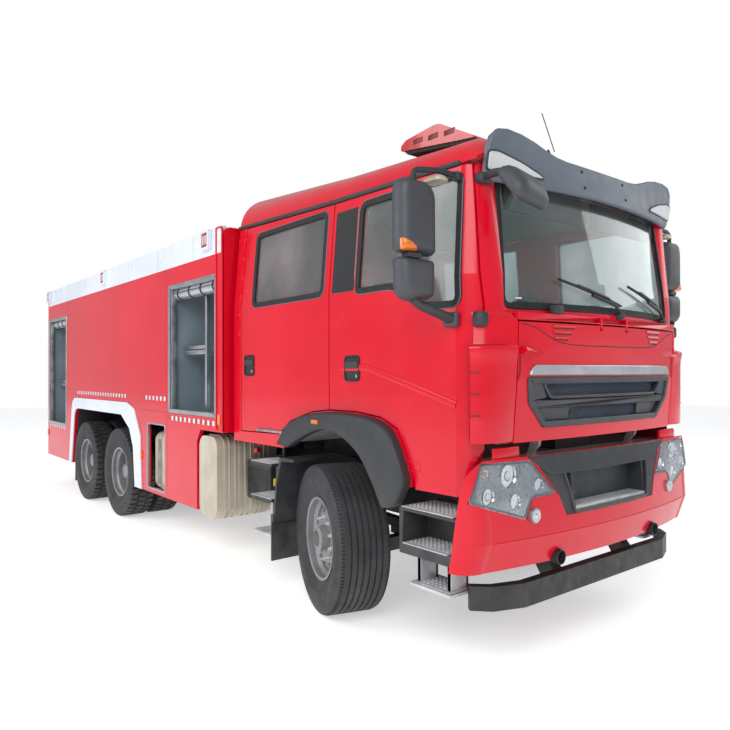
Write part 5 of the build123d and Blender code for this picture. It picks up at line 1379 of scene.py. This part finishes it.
# %% Panel seams, rivets and hinges on the side
tray = Tray()
for start, end in (((-2.72, 1.35), (-2.72, 2.81)), ((-6.47, 1.35), (-6.47, 2.81)),
                   ((-2.69, 0.48), (-2.69, 1.34)), ((-1.6, 1.335), (-3.5, 1.335))):
    tray.ridge([start, end], on_body_side, 0.005, -0.001, 0.001, "deep_red")
rivet = lathe((-1.60, 1.2495, 2.79), "y", ((0, 0.006), (0.0015, 0.006), (0.003, 0.003)),
              "deep_red", 8)
tray.append(rows("rivets", rivet, "red_paint", 40, (-0.15, 0, 0)))
tray.band(box_outline(-3.25, -2.76, 0.50, 1.195, 0.03, 0.2), on_body_side, -0.006, 0.012, -0.02,
          0.004, "bare_aluminium")
tray.fit_pair("side_seams", "chassis")
print("rear body dressed")

# %% [markdown]
# ## Steps, wheels and what hangs below
# Perforated plates lie on the step boxes, and galvanised steps hang below them. Nuts circle each
# hub, made once and turned by the ring tree. The exhaust canister wears ribs and clamp bands.

# %% Steps
RIM_PITCH = 0.034

def perforated(tray, x, y, z):
    """A pale plate with rows of raised rims."""
    tray.block(x, y, (z, z + 0.006), "step_metal", 0.002)
    along, over = (int((high - low - 0.03) / RIM_PITCH) for low, high in (x, y))
    rim = lathe((x[0] + 0.03, y[0] + 0.03, z + 0.006), "z",
                ((0, 0.011), (0.003, 0.010), (0.003, 0.006), (0.0005, 0.005)), "galvanised", 10)
    tray.append(rows("rims", rim, "step_metal", along, (RIM_PITCH, 0, 0), over,
                     (0, RIM_PITCH, 0)))

PLATES = (((0.885, 1.315), (0.93, 1.215), 0.921), ((0.890, 1.270), (0.93, 1.215), 0.700),
          ((-0.995, -0.67), (0.955, 1.215), 1.013), ((-0.995, -0.67), (0.955, 1.215), 0.731),
          ((0.935, 1.258), (0.965, 1.178), 0.4705), ((-0.985, -0.715), (0.985, 1.178), 0.4405))
# columns: pairs of x, y and z, the finish and how far the edges are rounded
HANGERS = (
    ((0.957, 0.987), (1.02, 1.15), (0.4705, 0.645), "step_metal", 0.004),
    ((1.207, 1.237), (1.02, 1.15), (0.4705, 0.645), "step_metal", 0.004),
    ((0.925, 1.267), (0.952, 1.188), (0.449, 0.4700), "step_metal", 0.004),
    ((-0.984, -0.946), (0.996, 1.034), (0.441, 0.706), "step_metal", 0.004),
    ((-0.754, -0.716), (0.996, 1.034), (0.441, 0.706), "step_metal", 0.004),
    ((-0.997, -0.703), (0.974, 1.186), (0.418, 0.4400), "step_metal", 0.004),
    ((-0.95, -0.54), (0.90, 1.19), (1.262, 1.282), "galvanised", 0.004),
    ((-0.90, -0.86), (0.93, 0.97), (1.03, 1.262), "black_paint", 0.004),
    ((-0.655, -0.645), (1.14, 1.20), (0.84, 0.90), "yellow_lens", 0.003),
)
tray = Tray()
for plate in PLATES:
    perforated(tray, *plate)
for hanger in HANGERS:
    tray.block(*hanger)
tray.fit_pair("step_plates", "chassis")

# %% Hubs and nuts
NUTS_ON_A_HUB = 10
# (along, radius) pairs: a washer, a nut and the end of its stud
NUT = ((0, 0.019), (0.004, 0.019), (0.004, 0.0155), (0.020, 0.0155), (0.024, 0.010), (0.036, 0.010),
       (0.037, 0.006))

def nut_ring(radius, out, look):
    """Nuts with washers around a hub at the origin, its outer side towards +Y."""
    return ring("nuts", lathe((-AXLE_X, out, radius), "y", NUT, look, 6, sharp=20),
                NUTS_ON_A_HUB, look)

def hub_cap(out, radius, deep, look):
    return lathe((-AXLE_X, out, 0), "y", (
        (-0.02, radius * 1.12), (0.0, radius * 1.12), (0.004, radius), (deep * 0.8, radius * 0.97),
        (deep, radius * 0.86), (deep + 0.004, radius * 0.5), (deep + 0.005, 0.01)), look, 32)

front_hub = join("front_hub", [nut_ring(0.152, 0.104, "step_metal"),
                               hub_cap(0.168, 0.058, 0.014, "engine_grey")])
rear_hub = join("rear_hub", [nut_ring(0.150, -0.05, "galvanised"),
                             hub_cap(0.020, 0.088, 0.035, "rim_paint")])
for side, name in SIDES:
    piece = placed_copy("front_hub_" + name, front_hub, wheel_place(side, 0, FRONT_OUT, True))
    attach(piece, "front_wheel_" + name)
    for axle, x in REAR_AXLES:
        piece = placed_copy(f"{axle}_hub_{name}", rear_hub, wheel_place(side, x, TWIN_OUT[0]))
        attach(piece, f"{axle}_wheels_{name}")
for piece in (front_hub, rear_hub):
    bpy.data.objects.remove(piece)

# %% Canister, tank straps, battery box and hoses, all on the right
tray = Tray()
for y in (-1.12, -1.06, -0.96, -0.90, -0.81, -0.76):
    tray.band(box_outline(-1.944, -1.566, 0.406, 1.164, 0.112, 0.2), facing_right(y), -0.004,
              0.006, -0.006, 0.006, "cream_alloy")
cap = box_outline(-1.90, -1.61, 0.45, 1.12, 0.10, 0.1)
tray.skin([[at(x, y, z) for x, z in spread(cap, wider)] for y, wider in (
    (-1.2405, 0.025), (-1.2465, 0.005), (-1.2475, -0.03))], "cream_alloy")
for x in (-3.05, -2.82, -2.35):
    tray.block((x - 0.034, x + 0.034), (-1.196, -1.190), (0.55, 1.03), "galvanised", 0.002)
tray.lathe((-2.58, -1.0, 1.10), "z", ((0, 0.055), (0.03, 0.055), (0.045, 0.048), (0.048, 0.01)),
           "black_paint", 24)
tray.block((-1.50, -1.08), (-0.98, -0.56), (0.60, 0.95), "dark_plastic", 0.02, 3)
tray.block((-1.47, -1.11), (-0.984, -0.976), (0.66, 0.89), "black_paint", 0.01)
for k, z in enumerate((1.10, 1.16, 1.22)):
    tray.rod([(-1.52, -0.78 - 0.05 * k, z), (-1.30, -0.82 - 0.05 * k, z - 0.03),
              (-1.05, -0.86 - 0.03 * k, z + 0.01)], 0.014, "seal_rubber", 8, bend=0.1)
tray.lathe((-1.40, -0.93, 1.02), "z", ((0, 0.03), (0.04, 0.03), (0.05, 0.02)), "red_lens", 16)
for z in (0.66, 0.96):
    tray.lathe((-3.20, 0.98, z), "x", ((0.0, 0.02), (0.01, 0.09), (0.04, 0.125), (1.06, 0.125),
                                       (1.09, 0.09), (1.10, 0.02)), "black_paint", 28)
    for x in (-3.0, -2.4):
        tray.lathe((x, 0.98, z), "x", ((0, 0.126), (0, 0.130), (0.03, 0.130), (0.03, 0.126)),
                   "galvanised", 28)
for x in (-2.99, -2.39):
    tray.block((x, x + 0.02), (0.40, 0.86), (0.80, 0.86), "black_paint", 0.003)
tray.fit("side_equipment", "chassis")

# %% Tow tubes and dampers
tray = Tray()
for side in (-1, 1):
    tray.lathe((1.556, side * 0.551, 0.640), "x", ((-0.05, 0.044), (0.010, 0.044), (0.012, 0.038),
                                                   (-0.04, 0.034)), "black_paint", 20)
    for x, z in ((0.30, 1.02), (-0.28, 1.0)):
        tray.lathe((x, side * 0.62, z), "y", ((-0.06, 0.05), (0.06, 0.05)), "black_paint", 16)
tray.fit("tow_tubes", "chassis")
print("steps, hubs and side equipment ready")

# %% [markdown]
# ## Roof and front corners
# The roof is a shell over a few cross sections, lowest at the front, where the visor hides its
# edge. A panel rounds each front corner below the windscreen. It swells into a ledge at the height
# of the flap's fin, and steps back above it.

# %% Roof shell
# columns: x, height of the rail, the shoulder and the crown
ROOF_STATIONS = ((-1.38, 3.03, 3.297, 3.335), (-1.36, 3.03, 3.299, 3.337),
                 (0.04, 2.975, 3.198, 3.230), (0.065, 2.975, 3.196, 3.228),
                 (1.28, 2.952, 3.140, 3.168), (1.36, 2.949, 3.095, 3.118),
                 (1.405, 2.948, 3.020, 3.044))
ROOF_THICK = 0.035

def roof_ring(x, rail, shoulder, crown, inset):
    """A cross section from rail to rail, from one half and its mirror image."""
    low = CAB_HALF - (rail - WAIST_Z) * CAB_LEAN - inset
    top = 0.925 - inset * 0.6
    shoulder, crown = shoulder - inset, crown - inset
    half = [(top * k / 6, crown - (crown - shoulder) * (k / 6) ** 2) for k in range(7)]
    bulge = (low * 0.62 + top * 0.38 + 0.012, rail + (shoulder - rail) * 0.60)
    handle = (2 * bulge[0] - (top + low) / 2, 2 * bulge[1] - (shoulder + rail) / 2)
    for k in range(1, 9):
        t = k / 8
        half.append(tuple(a * (1 - t) ** 2 + b * 2 * t * (1 - t) + c * t * t
                          for a, b, c in zip((top, shoulder), handle, (low, rail))))
    return [at(x, -y, z) for y, z in reversed(half)] + [at(x, y, z) for y, z in half[1:]]

outer, inner = ([roof_ring(*row, inset) for row in ROOF_STATIONS] for inset in (0.0, ROOF_THICK))
tray = Tray()
tray.skin(outer, "red_paint", closed=False, sharp=45)
tray.skin(inner, "cabin_liner", closed=False, sharp=45)
for rings in ([outer[0], inner[0]], [outer[-1], inner[-1]],
              [outer[0], [at(-1.38, p.y * 0.98, 3.02) for p in outer[0]]]):
    tray.skin(rings, "red_paint", closed=False)
for y in (-0.45, 0.45):
    tray.rod([(-1.30, y, 3.325), (0.0, y, 3.232)], 0.010, "red_paint", 8)
roof_piece = tray.fit("roof_shell", "cab")
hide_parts("cab_roof")

# %% Corner panels
LOWER = ((1.420, 1.183), (1.466, 1.146), (1.505, 1.075), (1.527, 0.99), (1.540, 0.908))
UPPER = ((1.392, 1.122), (1.437, 1.085), (1.478, 1.025), (1.510, 0.965), (1.531, 0.908))
TOP_LINE = ((1.375, 1.130), (1.405, 1.085), (1.430, 1.020), (1.447, 0.965), (1.460, 0.908))
CORNER_CENTRE = Vector((1.25, 0.90))
# columns: z, the line that the panel follows there, and how far it stands out from it
CORNER_LEVELS = ((1.345, LOWER, -0.004), (1.352, LOWER, 0.0), (1.50, LOWER, 0.0),
                 (1.66, LOWER, 0.0), (1.78, LOWER, 0.0), (1.835, LOWER, 0.004),
                 (1.868, LOWER, 0.012), (1.884, LOWER, 0.010), (1.892, LOWER, 0.0),
                 (1.900, UPPER, 0.004), (1.915, UPPER, 0.0), (2.02, UPPER, 0.0),
                 (2.045, UPPER, -0.004), (2.10, TOP_LINE, 0.0), (2.115, TOP_LINE, -0.02))

def corner_ring(z, points, out=0.0):
    """A smooth line through the points, from the door's edge to the flap's edge."""
    line = [Vector(p) for p in points]
    smooth = []
    for k in range(13):
        t = k / 12 * (len(line) - 1)
        i = min(int(t), len(line) - 2)
        f = t - i
        before, after = line[max(i - 1, 0)], line[min(i + 2, len(line) - 1)]
        a, b = line[i], line[i + 1]
        smooth.append(0.5 * (2 * a + (b - before) * f + (2 * before - 5 * a + 4 * b - after) * f * f
                             + (3 * a - before - 3 * b + after) * f ** 3))
    return [at(*(p + (p - CORNER_CENTRE).normalized() * out), z) for p in smooth]

def eased(line, edge):
    """The same line with its flap end at the flap's edge."""
    return [(x + (edge - line[-1][0]) * (k / 4) ** 2, y) for k, (x, y) in enumerate(line)]

corner = []
for z, line, out in CORNER_LEVELS:
    edge = level(FLAP_LEVELS, z)[2] + 0.002 if z < 2.05 else line[-1][0]
    corner.append(corner_ring(z, eased(line, edge), out))
inward = [[point - Vector((0.03, 0.03, 0)) for point in row] for row in corner]
tray = Tray()
tray.skin(corner, "red_paint", closed=False, sharp=50)
for col in (0, -1):
    tray.skin([[row[col] for row in corner], [row[col] for row in inward]], "red_paint",
              closed=False)
tray.skin([corner[0], inward[0]], "red_paint", closed=False)
for z in (1.50, 1.62, 1.74):
    tray.rod([from_axle(p) for p in corner_ring(z, LOWER)[:4]], 0.005, "deep_red", 6)
pad_rings = []
for k, here in enumerate(corner_ring(2.04, UPPER)[:5]):
    out_way = (here - at(*CORNER_CENTRE, 2.04)).normalized()
    size, reach = (0.042, 1) if 0 < k < 4 else (0.034, 0.6)
    pad_rings.append([here + out_way * (out * reach) + Vector((0, 0, size * up)) for out, up in (
        (-0.01, -1), (0.022, -1), (0.032, -0.7), (0.032, 0.7), (0.022, 1), (-0.01, 1))])
tray.skin(pad_rings, "dark_plastic", sharp=50)
corners = tray.fit_pair("front_corner", "cab")
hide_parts("corner_deflectors")
print("roof and corners ready")

# %% [markdown]
# ## Inside the cab
# Two seats in front and a bench of four behind are padded, so each cushion is crowned, its edge is
# rounded, and a seam runs round it. A gauge hood and switches stand behind the steering wheel.

# %% Padded seats
SEAT_LEAN, REST_LEAN = math.radians(-7), math.radians(-4)

def soft(value, power):
    """A sine or cosine with its curve squared off, for a cushion's full sides."""
    return math.copysign(abs(value) ** power, value)

def cushion(tray, centre, size, lean_by, crown):
    """A crowned cushion with soft edges, leaning about the Y axis, and the seam round it."""
    half = [v / 2 for v in size]
    turn_by = Matrix.Rotation(lean_by, 3, "Y")

    def placed(x, y, z):
        swell = crown * max(0, 1 - (x / half[0]) ** 2) * max(0, 1 - (y / half[1]) ** 2)
        return at(*(Vector(centre) + turn_by @ Vector((x, y, z + math.copysign(swell, z)))))

    rings = []
    for k in range(25):
        high = -math.pi / 2 + math.pi * (k + 0.02) / 24.04
        wide = soft(math.cos(high), 0.35)
        rings.append([placed(half[0] * wide * soft(math.cos(t), 0.4),
                             half[1] * wide * soft(math.sin(t), 0.4),
                             half[2] * soft(math.sin(high), 0.5)) for t in circle(48)])
    tray.skin(rings, "seat_cloth", sharp=80)
    edge = [from_axle(placed(half[0] * 0.985 * soft(math.cos(t), 0.4),
                             half[1] * 0.985 * soft(math.sin(t), 0.4), half[2] * 0.62))
            for t in circle(40)]
    tray.rod(edge, 0.005, "seal_rubber", 6, closed=True)

def padded_seat(tray, x, y, width):
    cushion(tray, (x + 0.01, y, 1.605), (0.48, width, 0.12), 0.0, 0.018)
    cushion(tray, (x - 0.215, y, 1.925), (0.105, width - 0.02, 0.62), SEAT_LEAN, 0.0)
    cushion(tray, (x - 0.262, y, 2.335), (0.085, 0.26, 0.155), REST_LEAN, 0.0)
    for side in (-1, 1):
        cushion(tray, (x - 0.18, y + side * (width / 2 - 0.05), 1.92), (0.085, 0.075, 0.50),
                SEAT_LEAN, 0.0)

# columns: name, node, x, the places across, width and height of the frame's foot
for name, node, x, spots, width, low in (
    ("front_seat", "front_seats", 0.56, (-0.81, 0.81), 0.48, 1.47),
    ("crew_seat", "crew_seats", -0.94, (-0.75, -0.25, 0.25, 0.75), 0.46, 1.36),
):
    pads, frames = Tray(), Tray()
    for y in spots:
        padded_seat(pads, x, y, width)
        inside = width / 2 - 0.05
        frames.block((x - 0.17, x + 0.19), (y - inside, y + inside), (low, 1.545), "cabin_plastic",
                     0.01)
        for post_y in (y - 0.06, y + 0.06):
            frames.rod([(x - 0.262, post_y, 2.20), (x - 0.268, post_y, 2.33)], 0.007, "chrome", 8)
    piece = pads.fit(name + "_cushions", "cab")
    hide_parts(node)
    frames.fit(name + "_frames", "cab")

# %% Dashboard details
tray = Tray()
tray.block((1.03, 1.10), (0.36, 0.76), (1.86, 1.985), "cabin_plastic", 0.02, 3)
for y, radius in ((0.47, 0.045), (0.65, 0.045), (0.56, 0.028)):
    tray.lathe((1.030, y, 1.925), "x", ((0, radius), (-0.006, radius), (-0.008, radius * 0.9),
                                        (-0.003, radius * 0.85), (-0.002, 0.002)),
               "gloss_black", 20)
tray.block((1.065, 1.085), (-0.16, 0.16), (1.72, 1.88), "gloss_black", 0.01)
for k in range(6):
    tray.block((1.060, 1.078), (-0.14 + 0.05 * k, -0.105 + 0.05 * k), (1.66, 1.69), "pale_plastic",
               0.004)
tray.fit("dashboard_details", "cab")
print("inside of the cab ready")

# %% [markdown]
# ## Rear and roof
# Rear lamps, a bare pale plate and reflective squares sit on the rear wall. The roof carries
# hatches, low rails and the monitor's hose and hand wheel.

# %% Rear wall
BACK = -7.63
tray = Tray()
for side in (-1, 1):
    for k, look in enumerate(("red_lens", "amber_lens", "red_lens")):
        y = side * (0.955 + 0.095 * k)
        tray.sheet(square_outline(y, 0.68, 0.042, 0.045, 0.012), facing_rear(BACK - 0.0455), -0.002,
                   0.014, look, 0.006)
    outline = square_outline(side * 1.08, 2.94, 0.10, 0.06, 0.03)
    tray.band(dense(outline, 0.05), facing_rear(BACK), -0.020, 0.006, -0.004, 0.014, "white_paint")
    tray.sheet(spread(outline, -0.020), facing_rear(BACK), -0.002, 0.010, "red_lens", 0.005)
tray.sheet(box_outline(-0.26, 0.26, 0.585, 0.695, 0.01), facing_rear(BACK - 0.060), 0.001, 0.005,
           "pale_plastic", 0.002)
for y in (-0.22, 0.22):
    tray.lathe((BACK - 0.066, y, 0.64), "x", ((0.003, 0.008), (-0.002, 0.008), (-0.004, 0.004)),
               "chrome", 12)
for shift, look in ((0, "tape_white"), (1, "tape_red")):
    patch = block((BACK - 0.0015, BACK - 0.0001),
                  (1.17 - SQUARE_STEP * shift, 1.215 - SQUARE_STEP * shift), (0.83, 0.875), look, 0)
    tray.append(rows("rear_squares", patch, look, 23, (0, -2 * SQUARE_STEP, 0)))
for y in (-1.235, 1.235):
    tray.rod([(BACK - 0.004, y, 0.86), (BACK - 0.004, y, 2.80)], 0.008, "red_paint", 8)
tray.fit("rear_wall_fittings", "chassis")

# %% Roof
DECK = 2.82
tray = Tray()
for x, y in ((-2.2, 0.55), (-2.2, -0.55), (-4.6, 0.0), (-5.6, 0.0)):
    tray.block((x - 0.28, x + 0.28), (y - 0.28, y + 0.28), (DECK, DECK + 0.035), "bare_aluminium",
               0.012)
    tray.rod([(x + along, y + 0.2, DECK + up) for along, up in (
        (-0.08, 0.035), (-0.08, 0.07), (0.08, 0.07), (0.08, 0.035))], 0.007, "chrome", 8, bend=0.02)
    for hinge in (x - 0.2, x + 0.2):
        tray.block((hinge - 0.03, hinge + 0.03), (y - 0.315, y - 0.26), (DECK, DECK + 0.045),
                   "galvanised", 0.006)
for side in (-1, 1):
    tray.block((-7.2, -1.9), sorted((side * 1.02, side * 1.14)), (DECK, DECK + 0.05), "tread_plate",
               0.006)
tray.rod([(-3.30, 0.24, DECK + 0.02), (-3.75, 0.24, DECK + 0.03), (-3.95, 0.05, DECK + 0.03),
          (-4.25, 0.05, DECK + 0.02)], 0.038, "bare_aluminium", 14, bend=0.15)
tray.fit("roof_fittings", "chassis")

# %% Monitor
MONITOR_X, MONITOR_Z = -3.3, 3.19
tray = Tray()
tray.lathe((MONITOR_X, 0, 2.965), "z", ((0, 0.128), (0.012, 0.142), (0.03, 0.142), (0.04, 0.128),
                                        (0.08, 0.118)), "galvanised", 36)
tray.lathe((MONITOR_X, 0.121, MONITOR_Z), "y", ((0, 0.05), (0.012, 0.05), (0.02, 0.03)),
           "galvanised", 20)
tray.fit("monitor_collar", "monitor_turret")
tray = Tray()
for along in (0.20, 0.42, 0.64):
    tray.lathe((MONITOR_X + along, 0, MONITOR_Z + along * 0.079), "x",
               ((-0.012, 0.047), (-0.012, 0.053), (0.012, 0.053), (0.012, 0.047)), "chrome", 24)
tray.lathe((-2.572, 0, 3.2475), "x", ((0.0, 0.060), (0.01, 0.070), (0.03, 0.070), (0.04, 0.062)),
           "seal_rubber", 28)
tray.fit("monitor_rings", "monitor_gun")
print("rear and roof ready")
